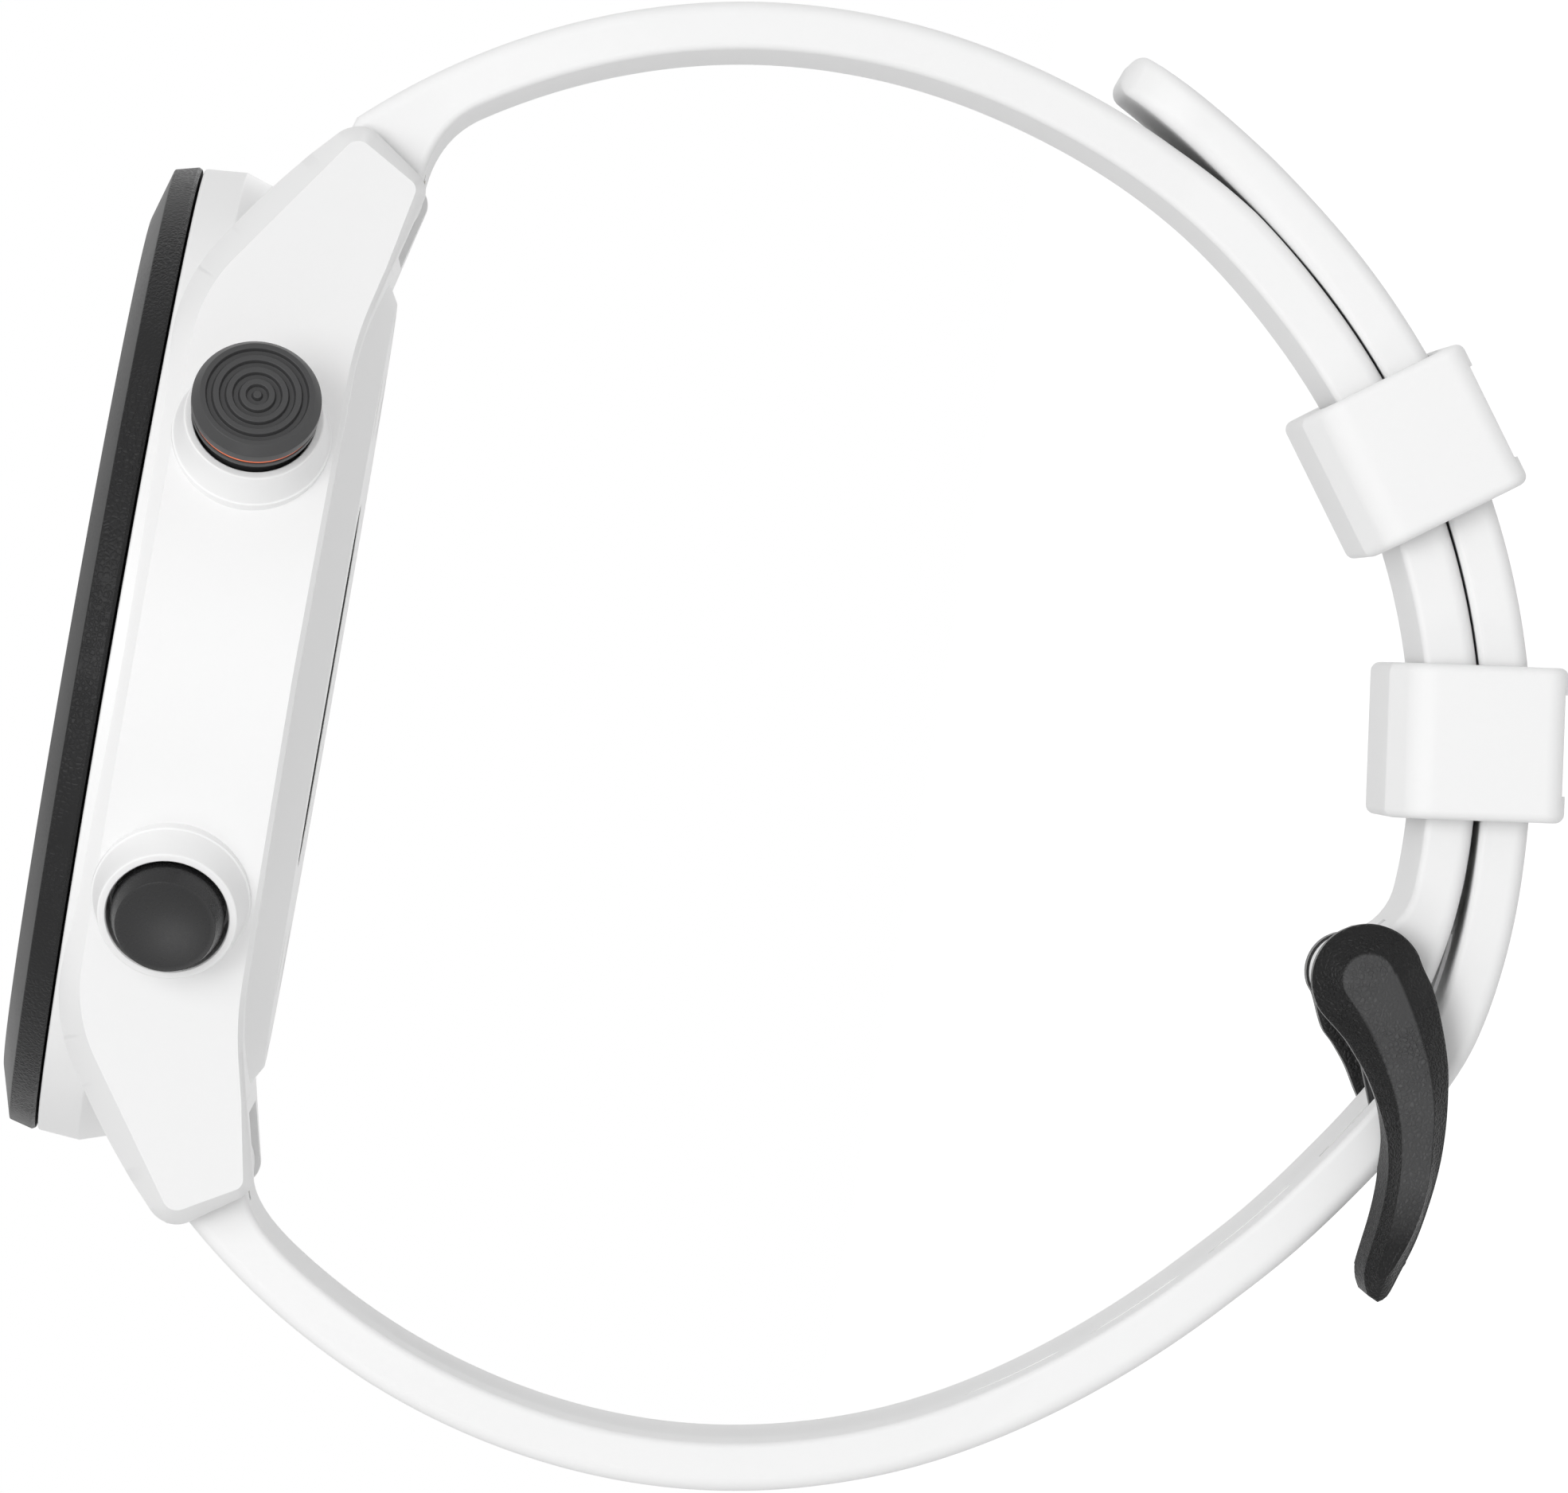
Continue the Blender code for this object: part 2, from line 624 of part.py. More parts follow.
def lug_end(side, inner_start):
    """The strap's end in the lugs: from the inner surface round the bar to the front of the knuckle."""
    bar = Vector((side * BAR_Y, BAR_Z))
    knuckle = [
        bar + Vector((side * p.x, p.y)) for p in arc(Vector((0, 0)), KNUCKLE_RADIUS, 270, 78, 9)
    ]
    pull = bar + Vector((side * FILLET_REACH, -KNUCKLE_RADIUS))
    return swept_curve(inner_start, pull, knuckle[0]) + knuckle


def along_x(name, radius, low, high, y, z, steps=PIN_STEPS):
    """A round rod along X."""
    place = Matrix.Translation((0, y, z)) @ Matrix.Rotation(pi / 2, 4, "Y")
    return disc(name, radius, low, high, steps, place)


def build_mid_case():
    """The case: a turned body, a side band with lugs, button bosses and screw posts, then its openings."""
    waist = SLOT_FLOOR_RADIUS
    ring_low = CASE_TOP - FRONT_RING_HEIGHT
    case = turned(
        "mid_case",
        (
            (0, CASE_TOP),
            (FRONT_RING_TOP_RADIUS, CASE_TOP),
            (FRONT_RING_RADIUS, ring_low),
            (FRONT_RING_RADIUS - RING_LIP_INSET, ring_low - RING_LIP_DROP),
            (waist, RING_UNDERCUT),
            (waist, BACK_CONE_HEIGHT),
            (BACK_FLAT_RADIUS, 0),
            (0, 0),
        ),
    )
    case = join(case, build_lugs())
    for name, angle in BUTTON_ANGLES.items():
        boss = (
            (0, BOSS_LIP),
            (BOSS_LIP_RADIUS, BOSS_LIP),
            (BOSS_BASE_RADIUS, SIDE_RADIUS),
            (BOSS_BASE_RADIUS, CAVITY_RADIUS),
            (0, CAVITY_RADIUS),
        )
        case = join(case, turned(name + "_boss", boss, CAP_STEPS, button_frame(angle)))
    case = cut(case, build_cavity())
    for angle in SCREW_ANGLES:
        turn = Matrix.Rotation(radians(angle), 4, "Z")
        out = turn @ Matrix.Translation((SCREW_CIRCLE, 0, 0))
        post_top = BOARD_BOTTOM - SEAT_GAP
        web = (CAVITY_RADIUS + CASE_WALL / 2, POST_RADIUS / 2, post_top)
        web_low = (SCREW_CIRCLE, -POST_RADIUS / 2, CASE_FLOOR_Z)
        post = join(
            disc("post", POST_RADIUS, COVER_CLEAR, post_top, PIN_STEPS, out), box("web", web_low, web, turn)
        )
        case = join(case, post)
        hole_top = SCREW_LENGTH + SEAT_GAP
        case = cut(case, disc("screw_hole", SCREW_RADIUS + SEAT_GAP, 0, hole_top, PIN_STEPS, out))
    for angle in BUTTON_ANGLES.values():
        bore = (
            (0, BOSS_LIP + BORE_DEPTH),
            (BORE_RADIUS, BOSS_LIP + BORE_DEPTH),
            (BORE_RADIUS, BORE_FLOOR),
            (SEAL_POCKET_RADIUS, BORE_FLOOR),
            (SEAL_POCKET_RADIUS, BORE_FLOOR - SEAL_POCKET_DEPTH),
            (STEM_HOLE_RADIUS, BORE_FLOOR - SEAL_POCKET_DEPTH),
            (STEM_HOLE_RADIUS, CAVITY_RADIUS - CASE_WALL),
            (0, CAVITY_RADIUS - CASE_WALL),
        )
        case = cut(case, turned("bore", bore, CAP_STEPS, button_frame(angle)))
    for side in (1, -1):
        reach = LUG_INNER_X + LUG_HOLE_DEPTH
        hole = along_x("bar_hole", TIP_RADIUS + SEAT_GAP, -reach, reach, side * BAR_Y, BAR_Z)
        case = cut(case, hole)
    return finished(case, "white_polymer")


def build_lugs():
    """The side band: its front outline and its side outline intersected, with the strap slots cut out."""
    tip_x = LUG_INNER_X + LUG_WALL
    reach = sqrt(tip_x**2 + LUG_TIP_Y**2)
    tangent = degrees(atan2(LUG_TIP_Y, tip_x)) - degrees(atan2(sqrt(reach**2 - SIDE_RADIUS**2), SIDE_RADIUS))
    right = arc(Vector((0, 0)), SIDE_RADIUS, -tangent, tangent, 8)
    right = [Vector((tip_x, -LUG_TIP_Y)), *right, Vector((tip_x, LUG_TIP_Y))]
    front = right + [Vector((-p.x, p.y)) for p in reversed(right)]
    upper_side = [
        ((LUG_TIP_Y - BAND_SHOULDER, BAND_TOP), BAND_SHOULDER),
        ((LUG_TIP_Y, BAR_Z + LUG_TIP_RISE), BAND_CHAMFER + LUG_TIP_FILLET),
        ((BAR_Y + LUG_HEEL_REACH, BAR_Z - LUG_HEEL_DROP), LUG_HEEL_FILLET),
        ((BAR_Y - LUG_BACK_RUN, BACK_CONE_HEIGHT - LUG_BACK_SINK), 0),
        ((BAR_Y - LUG_ROOT_RUN, BACK_CONE_HEIGHT - LUG_ROOT_SINK), 0),
    ]
    lower_side = [((-y, z), radius) for (y, z), radius in reversed(upper_side)]
    band = extruded("side_band", rounded(upper_side + lower_side), 4 * SIDE_RADIUS, ALONG_X)
    plan = extruded("plan", front, 4 * BAND_TOP)
    band = combine(band, plan, "INTERSECT")
    band = bevelled(
        band, BAND_CHAMFER, chosen=lambda at: at.z > BACK_CONE_HEIGHT or abs(at.y) > BAR_Y + 0.5 * MM
    )
    for side in (1, -1):
        ends = sorted((side * CAVITY_RADIUS, side * 2 * LUG_TIP_Y))
        low, high = (-LUG_INNER_X, ends[0], -BAND_TOP), (LUG_INNER_X, ends[1], 2 * BAND_TOP)
        band = cut(band, box("strap_slot", low, high))
    return band


def build_cavity():
    """The turned space inside the case, with the seats of the bezel, the carrier and the back cover."""
    return turned(
        "cavity",
        (
            (0, 2 * CASE_TOP),
            (BEZEL_SEAT_RADIUS, 2 * CASE_TOP),
            (BEZEL_SEAT_RADIUS, BEZEL_SEAT_Z),
            (CARRIER_SEAT_RADIUS, BEZEL_SEAT_Z),
            (CARRIER_SEAT_RADIUS, CARRIER_SEAT_Z),
            (CAVITY_RADIUS, CARRIER_SEAT_Z),
            (CAVITY_RADIUS, CASE_FLOOR_Z),
            (COVER_PLUG_RADIUS + SLIDE_GAP, CASE_FLOOR_Z),
            (COVER_PLUG_RADIUS + SLIDE_GAP, COVER_LEDGE_Z),
            (COVER_RADIUS + SLIDE_GAP, COVER_LEDGE_Z),
            (COVER_RADIUS + SLIDE_GAP, -CASE_TOP),
            (0, -CASE_TOP),
        ),
    )


def build_front():
    """Bezel, lens, display and the pieces that seal and carry them."""
    skirt = BEZEL_SEAT_RADIUS - SLIDE_GAP
    bezel = turned(
        "bezel",
        (
            (BEZEL_RIM_RADIUS, BEZEL_TOP),
            (BEZEL_SHOULDER_RADIUS, BEZEL_BOTTOM + BEZEL_SIDE_HEIGHT),
            (FRONT_RING_TOP_RADIUS, BEZEL_BOTTOM),
            (skirt, BEZEL_BOTTOM),
            (skirt, BEZEL_BOTTOM - BEZEL_SKIRT),
            (CARRIER_SEAT_RADIUS + SLIDE_GAP, BEZEL_BOTTOM - BEZEL_SKIRT),
            (CARRIER_SEAT_RADIUS + SLIDE_GAP, LEDGE_BOTTOM),
            (BEZEL_WINDOW_RADIUS, LEDGE_BOTTOM),
            (BEZEL_WINDOW_RADIUS, LEDGE_TOP),
            (BEZEL_RIM_RADIUS - SLIDE_GAP, LEDGE_TOP),
            (BEZEL_RIM_RADIUS - SLIDE_GAP, BEZEL_TOP),
        ),
    )
    finished(bezel, "black_polymer")
    lens_radius = BEZEL_RIM_RADIUS - 2 * SLIDE_GAP
    finished(disc("lens", lens_radius, LENS_BOTTOM, LENS_TOP), "lens_glass")
    seal_low = LEDGE_TOP + SLIDE_GAP / 2
    seal = ring("lens_gasket", BEZEL_WINDOW_RADIUS, lens_radius, seal_low, seal_low + LENS_SEAL_HEIGHT)
    finished(seal, "seal_rubber")
    gasket_low = BEZEL_SEAT_Z + SLIDE_GAP / 2
    gasket_high = BEZEL_BOTTOM - BEZEL_SKIRT - SLIDE_GAP
    gasket = ring("bezel_gasket", CARRIER_SEAT_RADIUS + SEAT_GAP, skirt - SLIDE_GAP, gasket_low, gasket_high)
    finished(gasket, "seal_rubber")
    carrier = disc("display_carrier", CARRIER_SEAT_RADIUS - SLIDE_GAP, CARRIER_BOTTOM, CARRIER_TOP)
    finished(carrier, "black_polymer")
    panel = disc("display_panel", DISPLAY_RADIUS, DISPLAY_BOTTOM, DISPLAY_BOTTOM + DISPLAY_THICKNESS)
    finished(panel, "display_dark")
    outer = CARRIER_SEAT_RADIUS - SEAT_GAP
    antenna_low = CARRIER_TOP + SLIDE_GAP
    antenna = ring("gps_antenna", outer - ANTENNA_WIDTH, outer, antenna_low, antenna_low + ANTENNA_HEIGHT)
    half_gap = outer * sin(radians(ANTENNA_GAP_ANGLE / 2))
    gap = box("antenna_gap", (-half_gap, 0, 0), (half_gap, 2 * outer, 2 * CASE_TOP))
    finished(cut(antenna, gap), "steel")


def rounded_plate(name, size, low, high, centre, corner):
    """A flat plate with rounded corners between two heights."""
    half_x, half_y = size[0] / 2, size[1] / 2
    corners = [((half_x, -half_y), corner), ((half_x, half_y), corner)]
    corners += [((-half_x, half_y), corner), ((-half_x, -half_y), corner)]
    place = Matrix.Translation((centre[0], centre[1], (low + high) / 2))
    return extruded(name, rounded(corners), high - low, place)


def build_electronics():
    """The board with its shield, the battery on the back cover, and the motor and buzzer on the case floor."""
    finished(disc("main_board", BOARD_RADIUS, BOARD_BOTTOM, BOARD_BOTTOM + BOARD_THICKNESS), "board_green")
    shield_top = BOARD_BOTTOM - SLIDE_GAP
    size = (SHIELD_SIDE, SHIELD_SIDE)
    shield = rounded_plate("shield_can", size, shield_top - SHIELD_HEIGHT, shield_top, (0, 0), SHIELD_CORNER)
    finished(shield, "steel")
    low, size = COVER_CLEAR, (BATTERY_WIDTH, BATTERY_LENGTH)
    battery = rounded_plate("battery", size, low, low + BATTERY_HEIGHT, (BATTERY_X, 0), BATTERY_CORNER)
    finished(battery, "cell_foil")
    motor_place, buzzer_place = Matrix.Translation((0, COIN_Y, 0)), Matrix.Translation((0, -COIN_Y, 0))
    low = CASE_FLOOR_Z + SEAT_GAP
    finished(disc("vibration_motor", COIN_RADIUS, low, low + MOTOR_HEIGHT, CAP_STEPS, motor_place), "steel")
    finished(disc("buzzer", COIN_RADIUS, low, low + BUZZER_HEIGHT, CAP_STEPS, buzzer_place), "gold_contact")


def pin_places():
    """The places of the charging pins, in a row along Y."""
    middle = (PIN_COUNT - 1) / 2
    return [Matrix.Translation((PIN_X, (i - middle) * PIN_PITCH, 0)) for i in range(PIN_COUNT)]


def build_back():
    """The back cover with its charging recess, contacts, gasket and screws."""
    cover = turned(
        "back_cover",
        (
            (0, COVER_THICKNESS),
            (COVER_PLUG_RADIUS, COVER_THICKNESS),
            (COVER_PLUG_RADIUS, COVER_FLANGE),
            (COVER_RADIUS, COVER_FLANGE),
            (COVER_RADIUS, 0),
            (0, 0),
        ),
    )
    size, corner = (RECESS_WIDTH, RECESS_LENGTH), RECESS_WIDTH * 0.4
    cover = cut(cover, rounded_plate("recess", size, -RECESS_DEPTH, RECESS_DEPTH, (RECESS_X, 0), corner))
    pin_hole = PIN_RADIUS + SLIDE_GAP
    for place in pin_places():
        cover = cut(cover, disc("pin_hole", pin_hole, -COVER_THICKNESS, 2 * COVER_THICKNESS, PIN_STEPS, place))
    sink = SCREW_SINK + SCREW_HEAD_HEIGHT + SLIDE_GAP / 2
    for angle in SCREW_ANGLES:
        place = Matrix.Rotation(radians(angle), 4, "Z") @ Matrix.Translation((SCREW_CIRCLE, 0, 0))
        seat = (
            (0, 2 * COVER_THICKNESS),
            (SCREW_RADIUS + SEAT_GAP, 2 * COVER_THICKNESS),
            (SCREW_RADIUS + SEAT_GAP, sink),
            (SCREW_HEAD_RADIUS + SLIDE_GAP, sink),
            (SCREW_HEAD_RADIUS + SLIDE_GAP, -COVER_THICKNESS),
            (0, -COVER_THICKNESS),
        )
        cover = cut(cover, turned("screw_seat", seat, PIN_STEPS, place))
    finished(cover, "white_polymer")
    gasket_low = COVER_FLANGE + SLIDE_GAP / 2
    gasket = ring("back_gasket", COVER_RADIUS - GASKET_WIDTH, COVER_RADIUS, gasket_low, gasket_low + GASKET_HEIGHT)
    finished(gasket, "seal_rubber")
    for number, angle in enumerate(SCREW_ANGLES, 1):
        place = Matrix.Rotation(radians(angle), 4, "Z") @ Matrix.Translation((SCREW_CIRCLE, 0, 0))
        shoulder = SCREW_SINK + SCREW_HEAD_HEIGHT
        screw = (
            (0, SCREW_LENGTH),
            (SCREW_RADIUS, SCREW_LENGTH),
            (SCREW_RADIUS, shoulder),
            (SCREW_HEAD_RADIUS, shoulder),
            (SCREW_HEAD_RADIUS, SCREW_SINK),
            (0, SCREW_SINK),
        )
        finished(turned(f"back_screw_{number}", screw, PIN_STEPS, place), "steel")
    half_x = BLOCK_WIDTH / 2
    half_y = (PIN_COUNT + 0.2) * PIN_PITCH / 2
    low = (PIN_X - half_x, -half_y, COVER_CLEAR)
    block = box("contact_block", low, (PIN_X + half_x, half_y, COVER_CLEAR + BLOCK_HEIGHT))
    pin_low = RECESS_DEPTH - SLIDE_GAP
    for number, place in enumerate(pin_places(), 1):
        top = pin_low + PIN_LENGTH
        block = cut(block, disc("pin_seat", pin_hole, 0, top + SLIDE_GAP, PIN_STEPS, place))
        pin = disc(f"charge_pin_{number}", PIN_RADIUS, pin_low, top, PIN_STEPS, place)
        finished(pin, "gold_contact")
    finished(block, "black_polymer")


def start_cap_profile():
    """The protruding cap: a grooved face, a chamfered head and a neck with a groove for the accent ring."""
    face = PISTON_TOP + START_HEAD_HEIGHT
    points = [(0, face)]
    for i in range(GROOVE_COUNT):
        middle = GROOVE_FIRST + i * GROOVE_PITCH
        for offset, drop in ((-1, 0), (-1, 1), (1, 1), (1, 0)):
            points.append((middle + offset * GROOVE_WIDTH / 2, face - drop * GROOVE_DEPTH))
    groove_top = face - ACCENT_DROP
    groove_low = groove_top - ACCENT_HEIGHT - 2 * ACCENT_GAP
    floor = START_HEAD_RADIUS - ACCENT_DEPTH - 2 * ACCENT_GAP
    return points + [
        (START_FACE_RADIUS, face),
        (START_HEAD_RADIUS, face - START_FACE_CHAMFER),
        (START_HEAD_RADIUS, groove_top),
        (floor, groove_top),
        (floor, groove_low),
        (START_HEAD_RADIUS - ACCENT_GAP, groove_low),
        (START_HEAD_RADIUS - ACCENT_GAP, PISTON_TOP),
        (PISTON_RADIUS, PISTON_TOP),
    ]


def flush_cap_profile():
    """The low cap: a slightly dished face with a chamfered edge."""
    face = BOSS_LIP + FLUSH_FACE_RISE
    return [
        (0, face - FLUSH_FACE_DISH),
        (FLUSH_FACE_RADIUS * 0.6, face - FLUSH_FACE_DISH * 0.6),
        (FLUSH_FACE_RADIUS, face),
        (PISTON_RADIUS, face - FLUSH_FACE_RISE * 0.9),
    ]


def build_button(name, angle):
    """One button on its radial axis: cap with stem, seal, retaining clip, and the switch that it presses."""
    frame = button_frame(angle)
    axis = placed(name + "_button_axis", None, frame)
    profile = start_cap_profile() if name == "start" else flush_cap_profile()
    profile += [(PISTON_RADIUS, PISTON_BOTTOM), (STEM_RADIUS, PISTON_BOTTOM), (STEM_RADIUS, STEM_END), (0, STEM_END)]
    finished(turned(name + "_button", profile, CAP_STEPS, frame), "button_grey", axis)
    if name == "start":
        low = PISTON_TOP + START_HEAD_HEIGHT - ACCENT_DROP - ACCENT_HEIGHT - ACCENT_GAP
        outer = START_HEAD_RADIUS - ACCENT_GAP
        inner = outer - ACCENT_DEPTH
        accent = ring("start_accent_ring", inner, outer, low, low + ACCENT_HEIGHT, CAP_STEPS, frame)
        finished(accent, "accent_orange", axis)
    seal_middle = BORE_FLOOR - SEAL_CORD_RADIUS - SLIDE_GAP / 4
    seal_circle = STEM_RADIUS + SLIDE_GAP / 2 + SEAL_CORD_RADIUS
    section = arc(Vector((seal_circle, seal_middle)), SEAL_CORD_RADIUS, 90, -210, 5)
    finished(turned(name + "_seal", section, PIN_STEPS, frame), "seal_rubber", axis)
    hole = STEM_RADIUS + SLIDE_GAP / 2
    clip = ring(name + "_clip", hole, CLIP_RADIUS, CLIP_TOP - CLIP_THICKNESS, CLIP_TOP, PIN_STEPS, frame)
    finished(clip, "steel", axis)
    turn = Matrix.Rotation(radians(angle), 4, "Z")
    low = (SWITCH_FACE - SWITCH_DEPTH, -SWITCH_WIDTH / 2, SWITCH_TOP - SWITCH_HEIGHT)
    switch = box(name + "_switch", low, (SWITCH_FACE, SWITCH_WIDTH / 2, SWITCH_TOP), turn)
    finished(bevelled(switch, SLIDE_GAP), "black_polymer")


def strap_side(stations, angles, thickness):
    """Points along one surface of a strap, at a thickness over its inner surface."""
    return [loop_point(a, LOOP_RADIUS + station_rise(stations, a) + thickness(a)) for a in angles]


def strap_blank(name, outline):
    """A strap half from its side outline, narrowed away from the lugs, with eased edges."""
    wide, narrow = STRAP_WIDTH / 2, STRAP_END_WIDTH / 2
    right = [Vector((narrow, 2 * LOOP_Z - LOOP_RADIUS)), Vector((narrow, TAPER_END_Z))]
    right += [Vector((wide, TAPER_START_Z)), Vector((wide, CASE_TOP))]
    front = right + [Vector((-p.x, p.y)) for p in reversed(right)]
    strap = extruded(name, outline, 2 * STRAP_WIDTH, ALONG_X)
    strap = combine(strap, extruded("plan", front, 4 * LOOP_RADIUS, ALONG_Y), "INTERSECT")
    return bevelled(whole_faces(strap), STRAP_EDGE, 1, 60.0)


def build_upper_strap():
    """The buckle half: lug knuckle, arc, and a knuckle round the buckle bar with a slot for the tongue."""
    lug = bar_angle(1)
    outer = strap_side(UPPER_STATIONS, angles_between(lug - LUG_OUTER_ANGLE, -9.0), lambda angle: STRAP_THICKNESS)
    bar = loop_point(BUCKLE_ANGLE, BUCKLE_RADIUS)
    out = loop_direction(BUCKLE_ANGLE)
    onward = Vector((-out.y, out.x))
    knuckle = [bar + p.x * out - p.y * onward for p in arc(Vector((0, 0)), BUCKLE_KNUCKLE_RADIUS, 80, 245, 8)]
    turn = swept_curve(outer[-1], loop_point(-14.4, LOOP_RADIUS + STRAP_THICKNESS - 0.2 * MM), knuckle[0])
    inner = strap_side(UPPER_STATIONS, angles_between(-2.0, lug - LUG_INNER_ANGLE), lambda angle: 0)
    bend = swept_curve(knuckle[-1], loop_point(-5.2, LOOP_RADIUS), inner[0])
    outline = outer + turn + knuckle + bend + inner + lug_end(1, inner[-1])
    strap = cut_spring_bar(strap_blank("strap_upper", outline), 1)
    half = STRAP_WIDTH
    strap = cut(strap, along_x("bar_hole", BUCKLE_HOLE_RADIUS, -half, half, bar.x, bar.y))
    slot = (TONGUE_WIDTH / 2 + SEAT_GAP, TONGUE_SLOT_LENGTH / 2, 2 * KNUCKLE_RADIUS)
    place = loop_frame(BUCKLE_ANGLE) @ Matrix.Translation((0, 0, -BUCKLE_RADIUS))
    strap = cut(strap, box("tongue_slot", [-v for v in slot], slot, place))
    return finished(strap, "white_silicone")


def tail_stations():
    """The lower half's stations, with its tail laid over the upper half and lifted at the tip."""
    return LOWER_STATIONS + tuple((angle, TAIL_RISE + lift) for angle, lift in TAIL_STATIONS)


def tail_thickness(angle):
    """The lower half's thickness, which tapers a little towards the tip."""
    share = max(0.0, (angle - TAIL_TAPER_ANGLE) / (TAIL_TIP_ANGLE - TAIL_TAPER_ANGLE))
    return STRAP_THICKNESS + share * (TAIL_TIP_THICKNESS - STRAP_THICKNESS)


def build_lower_strap():
    """The half with the holes: lug knuckle, arc, the crossing at the buckle, and the tail with its tip."""
    lug, stations = bar_angle(-1), tail_stations()
    outer = strap_side(stations, angles_between(lug + LUG_OUTER_ANGLE, TAIL_TIP_ANGLE), tail_thickness)
    inner = strap_side(stations, angles_between(TAIL_TIP_ANGLE, lug + LUG_INNER_ANGLE), lambda angle: 0)
    outline = outer + inner + lug_end(-1, inner[-1])
    strap = cut_spring_bar(strap_blank("strap_lower", outline), -1)
    for step in range(-HOLES_BEFORE, HOLES_AFTER + 1):
        angle = USED_HOLE_ANGLE + step * HOLE_PITCH_ANGLE
        middle = LOOP_RADIUS + station_rise(stations, angle)
        place = loop_frame(angle) @ Matrix.Translation((0, 0, -middle))
        depth, size = 3 * STRAP_THICKNESS, (HOLE_WIDTH, HOLE_LENGTH)
        hole = rounded_plate("hole", size, -depth, depth, (0, 0), HOLE_WIDTH * 0.45)
        hole.matrix_world = place
        strap = cut(strap, hole)
    return finished(round_tail(strap), "white_silicone")


def strap_half_width(z):
    """Half the strap's width at a height: full at the lugs, and narrowed below."""
    share = (TAPER_START_Z - z) / (TAPER_START_Z - TAPER_END_Z)
    return (STRAP_WIDTH - STRAP_TAPER * min(1.0, max(0.0, share))) / 2


def round_tail(strap):
    """Round the two corners of the tail's tip, seen from outside the loop."""
    middle = loop_frame(TAIL_TIP_ANGLE) @ Matrix.Translation((0, 0, -LOOP_RADIUS - TAIL_RISE))
    half = strap_half_width(middle.translation.z)
    for side in (1, -1):
        centre = Vector((half - TAIL_CORNER, -TAIL_CORNER))
        past = half + STRAP_THICKNESS
        points = [Vector((past, -TAIL_CORNER)), Vector((past, SEAT_GAP)), Vector((centre.x, SEAT_GAP))]
        points += arc(centre, TAIL_CORNER, 90, 0, 6)
        points = [Vector((side * p.x, p.y)) for p in points]
        strap = cut(strap, extruded("tail_corner", points, 5 * STRAP_THICKNESS, middle))
    return strap


def cut_spring_bar(strap, side):
    """Cut a strap's bar hole, and the window through which the release lever's knob stands out."""
    y, half = side * BAR_Y, STRAP_WIDTH
    strap = cut(strap, along_x("bar_hole", BAR_HOLE_RADIUS, -half, half, y, BAR_Z))
    wide = LEVER_KNOB_RADIUS + SEAT_GAP
    low = (LEVER_X - LEVER_TRAVEL - wide, y - wide, BAR_Z - 2 * KNUCKLE_RADIUS)
    return cut(strap, box("lever_window", low, (LEVER_X + wide, y + wide, BAR_Z)))


def build_spring_bar(place, side):
    """A quick-release bar: a tube with one fixed tip, and a sprung pin with a knob that slides in it."""
    y = side * BAR_Y
    end = STRAP_WIDTH / 2 - TUBE_SHORT
    tip = LUG_INNER_X + LUG_HOLE_DEPTH - SEAT_GAP
    bar = along_x("spring_bar_" + place, TUBE_RADIUS, -end, end, y, BAR_Z)
    bar = join(bar, along_x("fixed_tip", TIP_RADIUS, -tip, -end + TUBE_RADIUS, y, BAR_Z))
    bar = cut(bar, along_x("tube_bore", TUBE_BORE_RADIUS, end - TUBE_BORE_LENGTH, 2 * end, y, BAR_Z))
    wide = LEVER_KNOB_RADIUS + SLIDE_GAP
    low = (LEVER_X - LEVER_TRAVEL - wide, y - wide, BAR_Z - 2 * TUBE_RADIUS)
    finished(cut(bar, box("knob_slot", low, (LEVER_X + wide, y + wide, BAR_Z))), "steel")
    pin = along_x("release_lever_" + place, TIP_RADIUS, tip - LEVER_PIN_LENGTH, tip, y, BAR_Z)
    knob_low = -KNUCKLE_RADIUS - LEVER_KNOB_RISE
    knob_place = Matrix.Translation((LEVER_X, y, BAR_Z))
    knob = disc("knob", LEVER_KNOB_RADIUS, knob_low, 0, PIN_STEPS, knob_place)
    finished(join(pin, knob), "steel")


def build_keeper(place, angle, tilt):
    """A keeper: a loop round both layers of the strap, with its origin on the strap loop's axis."""
    middle = Matrix.Translation((0, 0, -LOOP_RADIUS - TAIL_RISE))
    frame = loop_frame(angle) @ middle @ Matrix.Rotation(radians(tilt), 4, "X") @ middle.inverted()
    hole_low = LOOP_RADIUS - KEEPER_SLACK
    hole_high = LOOP_RADIUS + TAIL_RISE + STRAP_THICKNESS + SEAT_GAP
    low, high = hole_low - KEEPER_INNER_WALL, hole_high + KEEPER_OUTER_WALL
    hole_x, half = STRAP_END_WIDTH / 2 + SEAT_GAP, KEEPER_LENGTH / 2
    wide = hole_x + KEEPER_SIDE_WALL
    keeper = box("keeper_" + place, (-wide, -half, -high), (wide, half, -low), frame)
    keeper = bevelled(keeper, KEEPER_EDGE, 2)
    keeper = cut(keeper, box("keeper_hole", (-hole_x, -2 * half, -hole_high), (hole_x, 2 * half, -hole_low), frame))
    panel_low = (-wide + KEEPER_SIDE_WALL / 2, -KEEPER_PANEL / 2, -high - KEEPER_EDGE)
    panel_high = (wide + KEEPER_EDGE, KEEPER_PANEL / 2, -high + KEEPER_PANEL_DEPTH)
    keeper = cut(keeper, box("keeper_panel", panel_low, panel_high, frame))
    return finished(keeper, "white_silicone")


